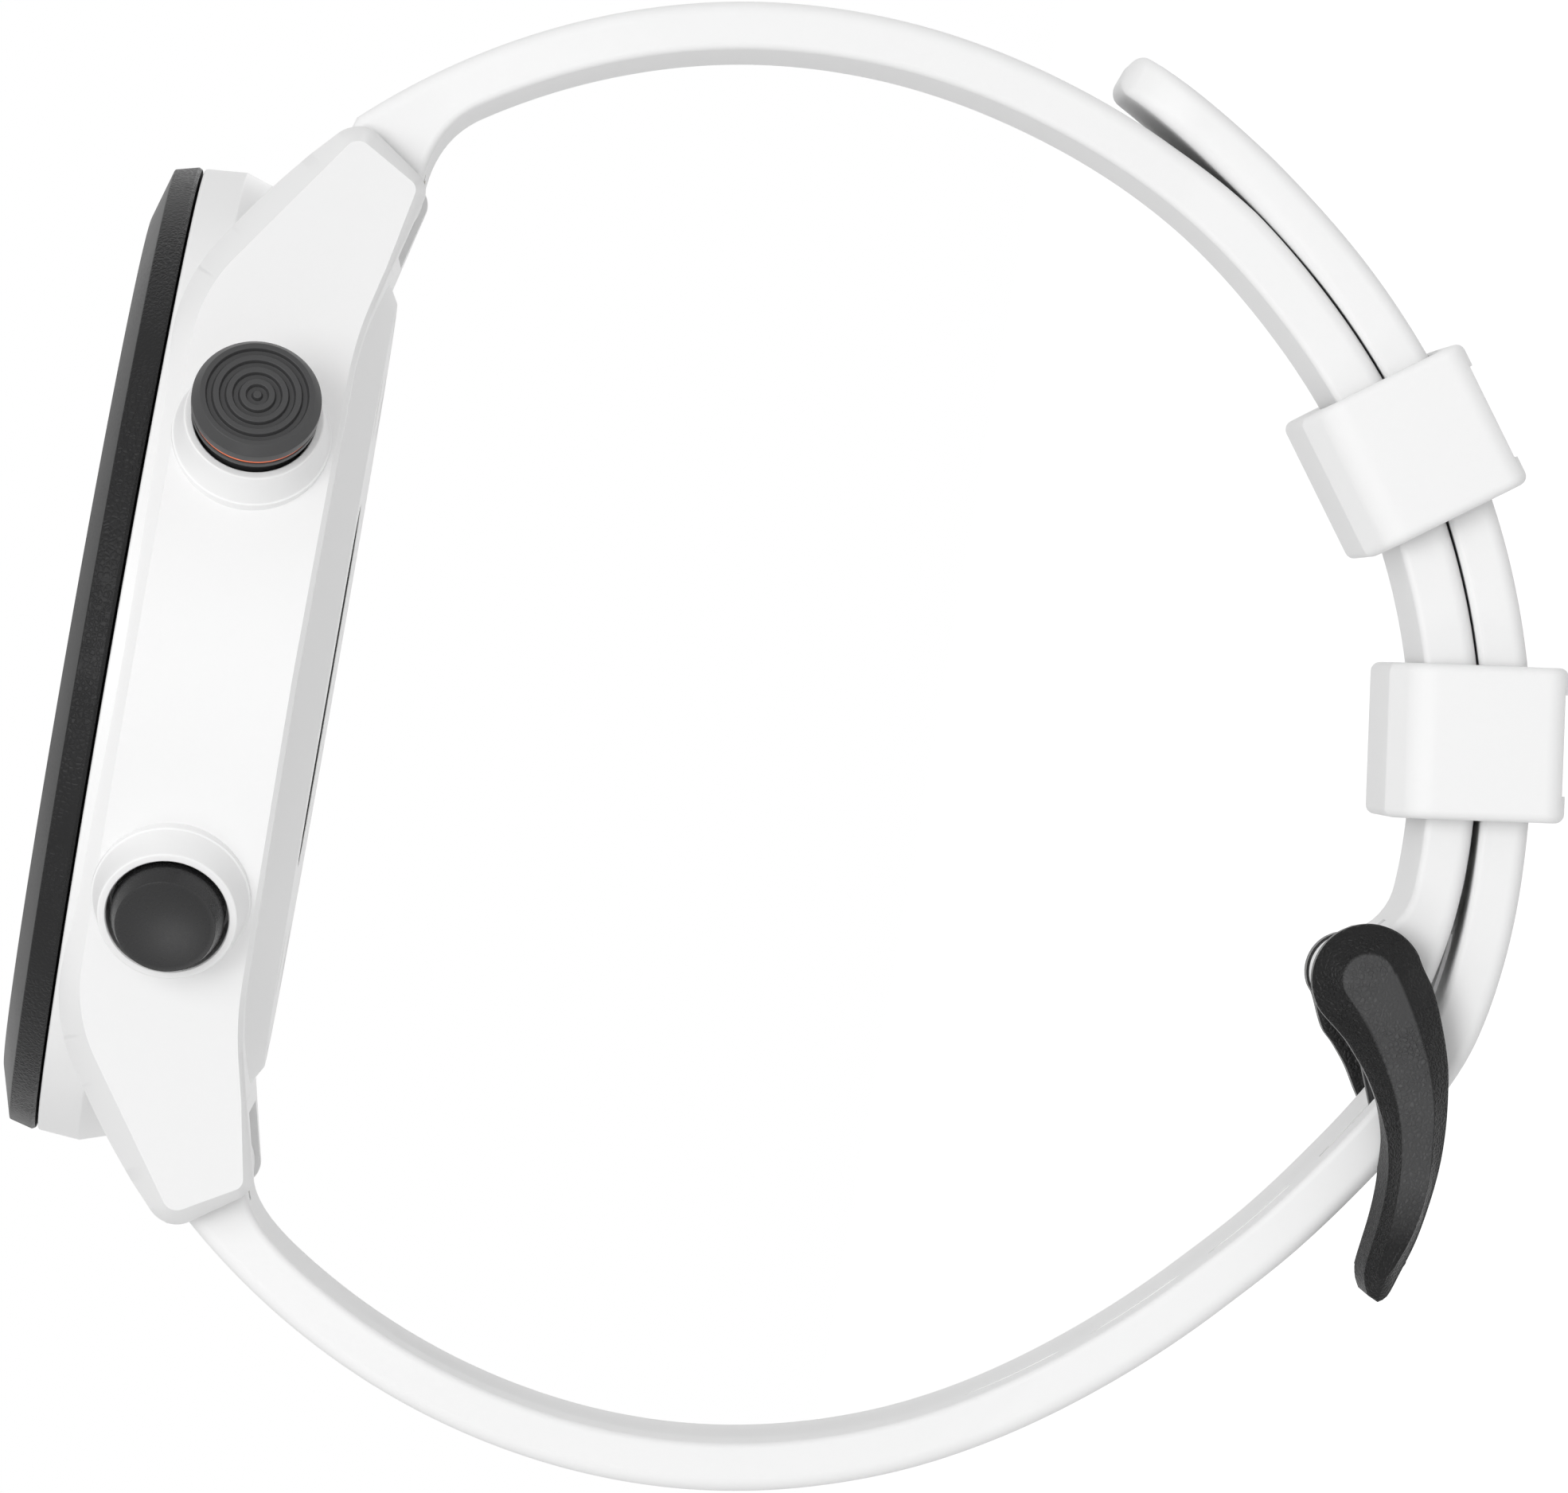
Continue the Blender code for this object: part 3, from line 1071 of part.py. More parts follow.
def arm_outline(end_radius, slim):
    """The buckle arm's outline: a round end about the bar, then a horn whose tip is thinned by slim."""
    bar = loop_point(BUCKLE_ANGLE, BUCKLE_RADIUS)
    out = loop_direction(BUCKLE_ANGLE)
    start = degrees(atan2(out.y, out.x))
    end = arc(bar, end_radius, start + 55, start + 240, 5)
    horn = []
    for i, (past, rise) in enumerate(ARM_TIP_OUTLINE):
        thinned = slim * i / ARM_INNER_POINTS if i < ARM_INNER_POINTS else 0
        horn.append(loop_point(BUCKLE_ANGLE - past, BUCKLE_RADIUS + rise + thinned))
    return end + horn


def build_buckle():
    """The buckle: a frame of two horn-shaped arms and a tip bar, its pivot bar and its tongue."""
    bar = loop_point(BUCKLE_ANGLE, BUCKLE_RADIUS)
    axis = placed("buckle_axis", None, Matrix.Translation((0, *bar)))
    middle = ARM_INNER_X + ARM_THICKNESS / 2
    reach = ARM_INNER_X + ARM_HOLE_DEPTH
    tip_frame = loop_frame(TIP_BAR_ANGLE) @ Matrix.Translation((0, 0, -LOOP_RADIUS - TIP_BAR_RISE))
    half = (ARM_INNER_X + ARM_THICKNESS / 2, TIP_BAR_LENGTH / 2, TIP_BAR_THICKNESS / 2)
    frame = box("buckle_frame", [-v for v in half], half, tip_frame)
    for side, end_radius, slim in ((1, ARM_CAP_RADIUS, 0), (-1, ARM_EYE_RADIUS, FAR_ARM_SLIM)):
        place = Matrix.Translation((side * middle, 0, 0)) @ ALONG_X
        arm = extruded("arm", arm_outline(end_radius, slim), ARM_THICKNESS, place, ARM_CURVE_STEPS)
        frame = join(frame, bevelled(arm, ARM_EDGE, 1, 60.0))
    notch_x = TONGUE_WIDTH / 2 + SEAT_GAP
    notch_low = (-notch_x, -TIP_BAR_LENGTH, -TIP_BAR_THICKNESS)
    notch_high = (notch_x, TIP_BAR_LENGTH, -TIP_BAR_THICKNESS / 2 + TIP_NOTCH_DEPTH)
    frame = cut(frame, box("tongue_notch", notch_low, notch_high, tip_frame))
    frame = cut(frame, along_x("bar_hole", BUCKLE_HOLE_RADIUS, -reach, reach, *bar))
    finished(frame, "black_polymer", axis)
    rod_end = reach - SLIDE_GAP
    finished(along_x("buckle_bar", BUCKLE_BAR_RADIUS, -rod_end, rod_end, *bar), "steel", axis)
    half_tongue = TONGUE_WIDTH / 2
    ring_radius = BUCKLE_HOLE_RADIUS + TONGUE_RING_WALL
    tongue = along_x("buckle_tongue", ring_radius, -half_tongue, half_tongue, *bar)
    line = [loop_point(angle, LOOP_RADIUS + rise) for angle, rise in TONGUE_LINE]
    shank = extruded("shank", ribbon(line, TONGUE_THICKNESS), TONGUE_WIDTH, ALONG_X)
    tongue = join(tongue, shank)
    tongue = cut(tongue, along_x("bar_hole", BUCKLE_HOLE_RADIUS, -reach, reach, *bar))
    finished(tongue, "steel", axis)


def ribbon(line, thickness):
    """The outline of a strip of even thickness about a line of points."""
    near, far = [], []
    for i, point in enumerate(line):
        along = (line[min(i + 1, len(line) - 1)] - line[max(i - 1, 0)]).normalized()
        across = Vector((-along.y, along.x)) * thickness / 2
        near.append(point + across)
        far.append(point - across)
    return near + far[::-1]


def main():
    start_scene()
    build_mid_case()
    build_front()
    build_electronics()
    build_back()
    for name, angle in BUTTON_ANGLES.items():
        build_button(name, angle)
    build_upper_strap()
    build_lower_strap()
    for place, side in (("upper", 1), ("lower", -1)):
        build_spring_bar(place, side)
    for place, angle in KEEPER_ANGLES.items():
        build_keeper(place, angle, KEEPER_TILTS[place])
    build_buckle()


main()
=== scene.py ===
"""The looks of a GPS sports watch: smooth meshes, finishes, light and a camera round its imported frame.

Lengths are in metres, and tables of bare numbers are in millimetres and degrees. The origin is the middle of
the case back, +X points to 3 o'clock, +Y to 12 o'clock and +Z out of the display. Strap places are angles and
radii about the strap loop's axis, which lies along X: angle 0 is straight below the case, and positive angles
lead up to 12 o'clock.
"""

from __future__ import annotations

import json
import logging
from collections.abc import Callable, Sequence
from dataclasses import dataclass
from enum import Enum
from math import acos, atan2, cos, degrees, pi, radians, sin, sqrt, tan

import bmesh
import bpy
from mathutils import Matrix, Vector

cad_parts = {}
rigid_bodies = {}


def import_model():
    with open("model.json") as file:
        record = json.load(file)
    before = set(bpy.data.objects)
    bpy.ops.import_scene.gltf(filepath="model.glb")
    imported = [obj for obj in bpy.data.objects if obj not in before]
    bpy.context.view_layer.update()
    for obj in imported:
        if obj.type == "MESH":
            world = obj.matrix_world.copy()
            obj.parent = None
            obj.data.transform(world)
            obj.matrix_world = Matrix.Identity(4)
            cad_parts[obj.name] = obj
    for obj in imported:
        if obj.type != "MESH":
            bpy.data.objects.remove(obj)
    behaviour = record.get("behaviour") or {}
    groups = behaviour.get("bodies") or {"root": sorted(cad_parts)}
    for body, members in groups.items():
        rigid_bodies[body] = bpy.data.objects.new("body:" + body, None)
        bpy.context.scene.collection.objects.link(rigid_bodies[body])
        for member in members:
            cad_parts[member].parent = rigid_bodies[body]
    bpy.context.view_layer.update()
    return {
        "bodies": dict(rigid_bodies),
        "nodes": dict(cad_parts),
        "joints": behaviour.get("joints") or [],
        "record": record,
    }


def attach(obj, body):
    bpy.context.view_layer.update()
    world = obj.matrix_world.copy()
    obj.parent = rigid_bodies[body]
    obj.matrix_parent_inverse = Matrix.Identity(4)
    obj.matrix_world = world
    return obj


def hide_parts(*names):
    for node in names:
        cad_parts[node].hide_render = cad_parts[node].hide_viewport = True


LOG = logging.getLogger("gps_watch")
MM = 0.001
# How near vertices lie that count as one: in a new mesh, and in a solid that was cut
WELD = 0.0005 * MM
CUT_WELD = 0.002 * MM
CUT_SLIVER = 0.001 * MM
# How far large faces outweigh small ones in the shading of a solid that was cut
FACE_WEIGHT = 80

Piece = bpy.types.Object
Shape = bmesh.types.BMesh
Material = bpy.types.Material
ShaderTree = bpy.types.ShaderNodeTree
Node = bpy.types.Node
Socket = bpy.types.NodeSocket
Pair = tuple[float, float]
Triple = tuple[float, float, float]
# A corner is two coordinates and a fillet radius, and a station is a place and the rise there
Colour = Triple
Corner = Triple
Stations = tuple[Pair, ...]
Places = list[tuple[Vector, Vector]]
Height = Callable[[float], float]
# What goes into a shader node, by the input's name or number
Inputs = dict[str | int, Socket | float | tuple[float, ...]]


class Slot(Enum):
    """The record's material slots."""

    WHITE_POLYMER = "white_polymer"
    WHITE_SILICONE = "white_silicone"
    BLACK_POLYMER = "black_polymer"
    BUTTON_GREY = "button_grey"
    ACCENT_ORANGE = "accent_orange"
    LENS_GLASS = "lens_glass"
    DISPLAY_DARK = "display_dark"
    SEAL_RUBBER = "seal_rubber"
    STEEL = "steel"
    GOLD_CONTACT = "gold_contact"
    BOARD_GREEN = "board_green"
    CELL_FOIL = "cell_foil"


class Merge(Enum):
    """How two solids are combined."""

    JOIN = "UNION"
    CUT = "DIFFERENCE"


class Grain(Enum):
    """The relief that a finish shows."""

    FINE = "fine_grain"
    LEATHER = "leather_grain"
    BRUSHED = "brushed_grain"
    GRID = "pixel_grid"


# Shapes


def object_of(name: str, shape: Shape, outward: bool = True) -> Piece:
    """Turn a bmesh into an object of the scene.

    Args:
        name: The object's name.
        shape: The mesh in the making, which is used up.
        outward: Whether the faces still have to be turned outwards.

    Returns:
        The new object, at the origin.
    """
    bmesh.ops.remove_doubles(shape, verts=shape.verts, dist=WELD)
    if outward:
        bmesh.ops.recalc_face_normals(shape, faces=shape.faces)
    mesh = bpy.data.meshes.new(name)
    shape.to_mesh(mesh)
    shape.free()
    obj = bpy.data.objects.new(name, mesh)
    bpy.context.scene.collection.objects.link(obj)
    return obj


def settled(obj: Piece) -> Piece:
    """Apply an object's modifiers to its mesh.

    Args:
        obj: The object.

    Returns:
        The same object.
    """
    bpy.context.view_layer.update()
    graph = bpy.context.evaluated_depsgraph_get()
    mesh = bpy.data.meshes.new_from_object(obj.evaluated_get(graph))
    old = obj.data
    obj.modifiers.clear()
    obj.data = mesh
    bpy.data.meshes.remove(old)
    return obj


def combine(obj: Piece, other: Piece, how: Merge) -> Piece:
    """Join a solid with another one, or cut the other one out of it.

    Args:
        obj: The solid that stays.
        other: The solid that is used up.
        how: What is done with it.

    Returns:
        The changed solid.
    """
    modifier = obj.modifiers.new("merge", "BOOLEAN")
    modifier.operation = how.value
    modifier.object = other
    modifier.solver = "EXACT"
    settled(obj)
    bpy.data.objects.remove(other)
    return obj


def bridge(shape: Shape, one: Sequence, two: Sequence) -> None:
    """Make the faces between two rows of vertices, where a row of one vertex is a pole.

    Args:
        shape: The mesh in the making.
        one: The first row, which runs round to its start.
        two: The second row.
    """
    count = max(len(one), len(two))
    for i in range(count):
        j = (i + 1) % count
        corners = [one[i % len(one)], one[j % len(one)], two[j % len(two)], two[i % len(two)]]
        shape.faces.new(list(dict.fromkeys(corners)))


def capped(shape: Shape, rows: Sequence[Sequence]) -> None:
    """Make the faces between rows of vertices, and one face over each end.

    Args:
        shape: The mesh in the making.
        rows: The rows, from one end to the other.
    """
    for one, two in zip(rows, rows[1:]):
        bridge(shape, one, two)
    shape.faces.new(rows[0])
    shape.faces.new(rows[-1])


def turned(name: str, profile: Sequence, steps: int, place: Matrix = Matrix()) -> Piece:
    """Turn a profile about the local Z axis.

    Args:
        name: The object's name.
        profile: Points of radius and height. Where the first radius isn't zero, the profile is closed.
        steps: The facets of a full turn.
        place: The frame of the turned solid.

    Returns:
        The solid.
    """
    shape = bmesh.new()
    rows = []
    for radius, height in profile:
        around = range(steps if radius > WELD else 1)
        turns = [2 * pi * i / steps for i in around]
        points = [place @ Vector((radius * cos(t), radius * sin(t), height)) for t in turns]
        rows.append([shape.verts.new(point) for point in points])
    pairs = list(zip(rows, rows[1:]))
    if profile[0][0] > WELD:
        pairs.append((rows[-1], rows[0]))
    for one, two in pairs:
        bridge(shape, one, two)
    return object_of(name, shape)


def filleted(corners: Sequence[Corner], closed: bool = False, steps: int = 5) -> list[Vector]:
    """An outline with a round fillet at each corner.

    Args:
        corners: Two coordinates and a fillet radius each.
        closed: Whether the last corner leads back to the first.
        steps: The facets of a fillet.

    Returns:
        The outline's points.
    """
    made = []
    count = len(corners)
    for i, (u, v, radius) in enumerate(corners):
        point = Vector((u, v))
        if radius == 0 or (not closed and i in (0, count - 1)):
            made.append(point)
            continue
        before = Vector(corners[i - 1][:2]) - point
        after = Vector(corners[(i + 1) % count][:2]) - point
        half = before.angle(after) / 2
        reach = min(radius / tan(half), 0.5 * before.length, 0.5 * after.length)
        radius = reach * tan(half)
        centre = point + (before.normalized() + after.normalized()).normalized() * radius / sin(half)
        start = point + before.normalized() * reach - centre
        end = point + after.normalized() * reach - centre
        turn = (pi - 2 * half) * (1 if start.x * end.y > start.y * end.x else -1)
        made += [centre + Matrix.Rotation(turn * k / steps, 2) @ start for k in range(steps + 1)]
    return made


def rounded_box(wide: float, long: float, corner: float, steps: int) -> list[Vector]:
    """The outline of a rectangle about the origin with round corners.

    Args:
        wide: Half its width.
        long: Half its length.
        corner: The corners' radius.
        steps: The facets of a corner.

    Returns:
        The outline's points.
    """
    places = ((wide, -long), (wide, long), (-wide, long), (-wide, -long))
    return filleted([(*place, corner) for place in places], True, steps)


def curved(start: Vector, pull: Vector, end: Vector, count: int) -> list[Vector]:
    """The inner points of a curve from one point to another.

    Args:
        start: Where the curve starts.
        pull: The point that it leaves towards, and arrives from.
        end: Where it ends.
        count: The number of its pieces.

    Returns:
        The points, without the two ends.
    """
    shares = [k / count for k in range(1, count)]
    return [(1 - t) ** 2 * start + 2 * t * (1 - t) * pull + t * t * end for t in shares]


def clamped(share: float) -> float:
    """A share held between 0 and 1."""
    return min(1.0, max(0.0, share))


def along_span(value: float, span: Pair) -> float:
    """How far a value lies along a span, as a share of it."""
    return (value - span[0]) / (span[1] - span[0])


def in_metres(points: Sequence[Pair]) -> list[Pair]:
    """Points that are given in millimetres."""
    return [(u * MM, v * MM) for u, v in points]


def smooth_line(points: Sequence[Vector], count: int) -> list[Vector]:
    """Evenly spaced points on a smooth curve through the given ones.

    Args:
        points: The given points.
        count: The number of points on the curve.

    Returns:
        The points, both ends included.
    """
    fine = []
    pieces = 12
    last = len(points) - 1
    for i in range(last):
        p0, p1 = points[max(i - 1, 0)], points[i]
        p2, p3 = points[i + 1], points[min(i + 2, last)]
        for k in range(pieces):
            t = k / pieces
            near = p1 * 2 + (p2 - p0) * t
            far = (p0 * 2 - p1 * 5 + p2 * 4 - p3) * t**2 + (p1 * 3 - p0 - p2 * 3 + p3) * t**3
            fine.append((near + far) * 0.5)
    fine.append(points[-1])
    return even_line(fine, count)


def even_line(points: Sequence[Vector], count: int) -> list[Vector]:
    """Evenly spaced points along a line of points.

    Args:
        points: The line's points.
        count: The number of new points.

    Returns:
        The new points, both ends included.
    """
    lengths = [0.0]
    for one, two in zip(points, points[1:]):
        lengths.append(lengths[-1] + (two - one).length)
    made = []
    index = 0
    for k in range(count):
        want = lengths[-1] * k / (count - 1)
        while index < len(points) - 2 and lengths[index + 1] < want:
            index += 1
        span = lengths[index + 1] - lengths[index]
        share = (want - lengths[index]) / span if span else 0.0
        made.append(points[index].lerp(points[index + 1], min(1.0, share)))
    return made


def inward_normals(outline: Sequence[Vector]) -> list[Vector]:
    """The directions that point into a closed outline.

    Args:
        outline: The outline's points.

    Returns:
        One unit direction for each point.
    """
    count = len(outline)
    area = sum(outline[i - 1].x * outline[i].y - outline[i].x * outline[i - 1].y for i in range(count))
    side = 1 if area > 0 else -1
    made = []
    for i in range(count):
        before = (outline[i] - outline[i - 1]).normalized()
        after = (outline[(i + 1) % count] - outline[i]).normalized()
        along = before + after
        made.append(Vector((-along.y, along.x)).normalized() * side)
    return made


def quarter(steps: int) -> list[Pair]:
    """Shares of a radius by which a rounded edge steps in and back, from its flat face to its side."""
    turns = [pi / 2 * k / steps for k in range(steps + 1)]
    return [(1 - sin(turn), 1 - cos(turn)) for turn in turns]


def shaded(obj: Piece, sharp: float = 30.0, weighted: bool = False) -> Piece:
    """Shade a piece smooth, with its edges over an angle kept sharp.

    Args:
        obj: The piece.
        sharp: The least angle of a sharp edge, in degrees.
        weighted: Whether large faces keep their own direction, as on solids that were cut.

    Returns:
        The piece.
    """
    obj.data.shade_smooth()
    obj.data.set_sharp_from_angle(angle=radians(sharp))
    if weighted:
        normals = obj.modifiers.new("normals", "WEIGHTED_NORMAL")
        normals.keep_sharp = True
        normals.weight = FACE_WEIGHT
        settled(obj)
    return obj


def cleaned(obj: Piece) -> Piece:
    """Merge the doubles of a solid that was cut, and drop its slivers.

    Args:
        obj: The solid.

    Returns:
        The same solid.
    """
    shape = bmesh.new()
    shape.from_mesh(obj.data)
    bmesh.ops.remove_doubles(shape, verts=shape.verts, dist=CUT_WELD)
    bmesh.ops.dissolve_degenerate(shape, edges=shape.edges, dist=CUT_SLIVER)
    shape.to_mesh(obj.data)
    shape.free()
    return obj


# Finishes


def filled(tree: ShaderTree, node: Node, inputs: Inputs) -> None:
    """Set or link a node's inputs.

    Args:
        tree: The node's tree.
        node: The node.
        inputs: A socket or a value for each input that isn't left alone.
    """
    for key, value in inputs.items():
        if isinstance(value, Socket):
            tree.links.new(value, node.inputs[key])
        else:
            node.inputs[key].default_value = value


def added(tree: ShaderTree, kind: str, inputs: Inputs, **settings: object) -> Node:
    """Add a shader node.

    Args:
        tree: The tree that gets the node.
        kind: The node's type, without the prefix that all share.
        inputs: A socket or a value for each input that isn't left alone.
        settings: The node's own properties.

    Returns:
        The node.
    """
    node = tree.nodes.new("ShaderNode" + kind)
    for name, value in settings.items():
        setattr(node, name, value)
    filled(tree, node, inputs)
    return node


def maths(tree: ShaderTree, operation: str, *values: Socket | float) -> Socket:
    """Add a Math node with a socket or a number for each input, and return the socket of its result."""
    return added(tree, "Math", dict(enumerate(values)), operation=operation).outputs[0]


class GrainGroups:
    """The shader groups that give finishes their relief and the variation of their tone, which follows the
    relief's height too: painted shade in a leather grain's creases.
    """

    CLOUD_SCALE = 120.0
    CLOUD_DETAIL = 3.0
    CLOUD_SHARE = 0.55
    # The relief's share of the tone: low relief is coloured darker, which paints shade into a leather grain's
    # creases
    RELIEF_SHARE = 0.45
    RELIEF_DETAIL = 2.0
    BRUSH_STRETCH = (0.04, 1.0, 1.0)
    WARP_SHARE = 0.5
    CREASE_WANDER = 0.16 * MM
    CREASE_WIDTH = 0.3
    WORN_SCALE = 260.0
    WORN_LIMITS = {"From Min": 0.38, "From Max": 0.62, "To Min": 0.2}

    def __init__(self) -> None:
        """Start without any group; each is built when a finish first asks for it."""
        self.made: dict[Grain, ShaderTree] = {}

    def get(self, grain: Grain) -> ShaderTree:
        """Find the group of a grain.

        Args:
            grain: The relief that the group gives.

        Returns:
            The group, built once.
        """
        if grain not in self.made:
            self.made[grain] = self.build(grain)
        return self.made[grain]

    def build(self, grain: Grain) -> ShaderTree:
        """Build the group of a grain.

        Args:
            grain: The relief that the group gives.

        Returns:
            A group with the inputs Vector and Scale and the outputs Height and Tone.
        """
        tree = bpy.data.node_groups.new(grain.value, "ShaderNodeTree")
        for name, kind in (("Vector", "NodeSocketVector"), ("Scale", "NodeSocketFloat")):
            tree.interface.new_socket(name, in_out="INPUT", socket_type=kind)
        for name in ("Height", "Tone"):
            tree.interface.new_socket(name, in_out="OUTPUT", socket_type="NodeSocketFloat")
        start = tree.nodes.new("NodeGroupInput")
        end = tree.nodes.new("NodeGroupOutput")
        relief = self.relief(tree, grain, start)
        tree.links.new(relief, end.inputs["Height"])
        inputs = {"Vector": start.outputs["Vector"], "Scale": self.CLOUD_SCALE, "Detail": self.CLOUD_DETAIL}
        cloud = added(tree, "TexNoise", inputs)
        clouds = maths(tree, "MULTIPLY", cloud.outputs["Fac"], self.CLOUD_SHARE)
        # The colour follows the relief as well as the random clouds: painted shade in the creases
        tone = maths(tree, "MULTIPLY_ADD", relief, self.RELIEF_SHARE, clouds)
        tree.links.new(tone, end.inputs["Tone"])
        return tree

    def relief(self, tree: ShaderTree, grain: Grain, start: Node) -> Socket:
        """Add the nodes of a grain's relief.

        Args:
            tree: The tree that gets the nodes.
            grain: The relief.
            start: The group's input node.

        Returns:
            The socket of the height.
        """
        if grain is Grain.LEATHER:
            return self.leather(tree, start)
        place, scale = start.outputs["Vector"], start.outputs["Scale"]
        if grain is Grain.GRID:
            inputs = {"Vector": place, "Scale": scale, "Randomness": 0.0}
            return added(tree, "TexVoronoi", inputs, distance="CHEBYCHEV").outputs["Distance"]
        if grain is Grain.BRUSHED:
            place = added(tree, "Mapping", {"Vector": place, "Scale": self.BRUSH_STRETCH}).outputs["Vector"]
        inputs = {"Vector": place, "Scale": scale, "Detail": self.RELIEF_DETAIL}
        return added(tree, "TexNoise", inputs).outputs["Fac"]

    def leather(self, tree: ShaderTree, start: Node) -> Socket:
        """Add pebbles with wandering creases between them.

        Args:
            tree: The tree that gets the nodes.
            start: The group's input node.

        Returns:
            The socket of the height.
        """
        place, scale = start.outputs["Vector"], start.outputs["Scale"]
        warp_scale = maths(tree, "MULTIPLY", scale, self.WARP_SHARE)
        warp = added(tree, "TexNoise", {"Vector": place, "Scale": warp_scale})
        inputs = {0: warp.outputs["Color"], 1: (self.CREASE_WANDER,) * 3, 2: place}
        push = added(tree, "VectorMath", inputs, operation="MULTIPLY_ADD")
        inputs = {"Vector": push.outputs[0], "Scale": scale}
        cells = added(tree, "TexVoronoi", inputs, feature="DISTANCE_TO_EDGE")
        inputs = {"Value": cells.outputs["Distance"], "From Max": self.CREASE_WIDTH}
        crown = added(tree, "MapRange", inputs, interpolation_type="SMOOTHSTEP")
        patch = added(tree, "TexNoise", {"Vector": place, "Scale": self.WORN_SCALE})
        worn = added(tree, "MapRange", {"Value": patch.outputs["Fac"], **self.WORN_LIMITS})
        return maths(tree, "MULTIPLY", crown.outputs["Result"], worn.outputs["Result"])


@dataclass(frozen=True)
class Finish:
    """A surface: its slot in the record, its colour, gloss and relief, and a painted highlight colour for
    marked faces.
    """

    # The normal's share to the front where sides_only starts to fade the relief, and where it is gone
    FRONT_FADE = (0.4, 0.7)

    name: str
    slot: Slot
    colour: Colour
    roughness: float
    metallic: float = 0.0
    specular: float = 0.5
    grain: Grain = Grain.FINE
    grain_scale: float = 5000.0
    grain_depth: float = 0.004 * MM
    tone: float = 0.06
    gloss_spread: float = 0.06
    sheen: float = 0.0
    transmission: float = 0.0
    # A lighter colour on the faces that the mesh marks: a painted highlight
    facet_highlight_colour: Colour | None = None
    sides_only: bool = False

    def material(self, groups: GrainGroups) -> Material:
        """Build the finish's material.

        Args:
            groups: The shader groups of the scene.

        Returns:
            A material with one Principled shader.
        """
        made = bpy.data.materials.new(self.name)
        made.use_nodes = True
        tree = made.node_tree
        place = added(tree, "TexCoord", {})
        inputs = {"Vector": place.outputs["Object"], "Scale": self.grain_scale}
        grain = added(tree, "Group", inputs, node_tree=groups.get(self.grain))
        tone, height = grain.outputs["Tone"], grain.outputs["Height"]
        colour = self.tinted(tree, tone, self.colour)
        if self.facet_highlight_colour:
            colour = self.with_facet_highlight(tree, grain, colour)
        low, high = max(0.0, self.roughness - self.gloss_spread), min(1.0, self.roughness + self.gloss_spread)
        gloss = added(tree, "MapRange", {"Value": tone, "To Min": low, "To Max": high})
        if self.sides_only:
            height = self.on_sides(tree, place, height)
        bump = added(tree, "Bump", {"Strength": 1.0, "Distance": self.grain_depth, "Height": height})
        inputs = {
            "Metallic": self.metallic,
            "Specular IOR Level": self.specular,
            "Sheen Weight": self.sheen,
            "Transmission Weight": self.transmission,
            "Base Color": colour,
            "Roughness": gloss.outputs["Result"],
            "Normal": bump.outputs["Normal"],
        }
        filled(tree, tree.nodes["Principled BSDF"], inputs)
        return made

    def on_sides(self, tree: ShaderTree, place: Node, height: Socket) -> Socket:
        """Keep the relief off the faces that look to the front.

        Args:
            tree: The tree that gets the nodes.
            place: The node of the coordinates.
            height: The relief's height.

        Returns:
            The socket of the height.
        """
        parts = added(tree, "SeparateXYZ", {0: place.outputs["Normal"]})
        start, end = self.FRONT_FADE
        limits = {"From Min": start, "From Max": end, "To Min": 1.0, "To Max": 0.0}
        mask = added(tree, "MapRange", {"Value": parts.outputs["Z"], **limits})
        return maths(tree, "MULTIPLY", mask.outputs["Result"], height)

    def tinted(self, tree: ShaderTree, tone: Socket, colour: Colour) -> Socket:
        """Vary a colour a little with the tone.

        Args:
            tree: The tree that gets the nodes.
            tone: What the colour follows.
            colour: The colour.

        Returns:
            The socket of the varied colour.
        """
        low, high = [(*[min(1.0, part * by) for part in colour], 1) for by in (1 - self.tone, 1 + self.tone)]
        mix = added(tree, "Mix", {"A": low, "B": high, "Factor": tone}, data_type="RGBA")
        return mix.outputs["Result"]

    def with_facet_highlight(self, tree: ShaderTree, grain: Node, colour: Socket) -> Socket:
        """Lay a lighter colour, a painted highlight, over the faces that the mesh marks.

        Args:
            tree: The tree that gets the nodes.
            grain: The node of the finish's grain.
            colour: The colour of the other faces.

        Returns:
            The socket of the mixed colour.
        """
        highlight_mark = added(tree, "Attribute", {}, attribute_name="facet")
        facet = self.tinted(tree, grain.outputs["Tone"], self.facet_highlight_colour)
        inputs = {"A": colour, "B": facet, "Factor": highlight_mark.outputs["Fac"]}
        return added(tree, "Mix", inputs, data_type="RGBA").outputs["Result"]


CASE_WHITE = Finish(
    "case_white", Slot.WHITE_POLYMER, (0.86, 0.86, 0.86), 0.42, tone=0.012, grain_depth=0.0015 * MM
)
STRAP_WHITE = Finish(
    "strap_white", Slot.WHITE_SILICONE, (0.87, 0.87, 0.87), 0.58, specular=0.35, sheen=0.05, tone=0.012,
    grain_scale=3500.0, grain_depth=0.002 * MM,
)
BEZEL_BLACK = Finish(
    "bezel_black", Slot.BLACK_POLYMER, (0.016, 0.016, 0.0165), 0.42, specular=0.17, grain=Grain.LEATHER,
    grain_scale=4200.0, grain_depth=0.035 * MM, tone=0.2, sides_only=True,
)
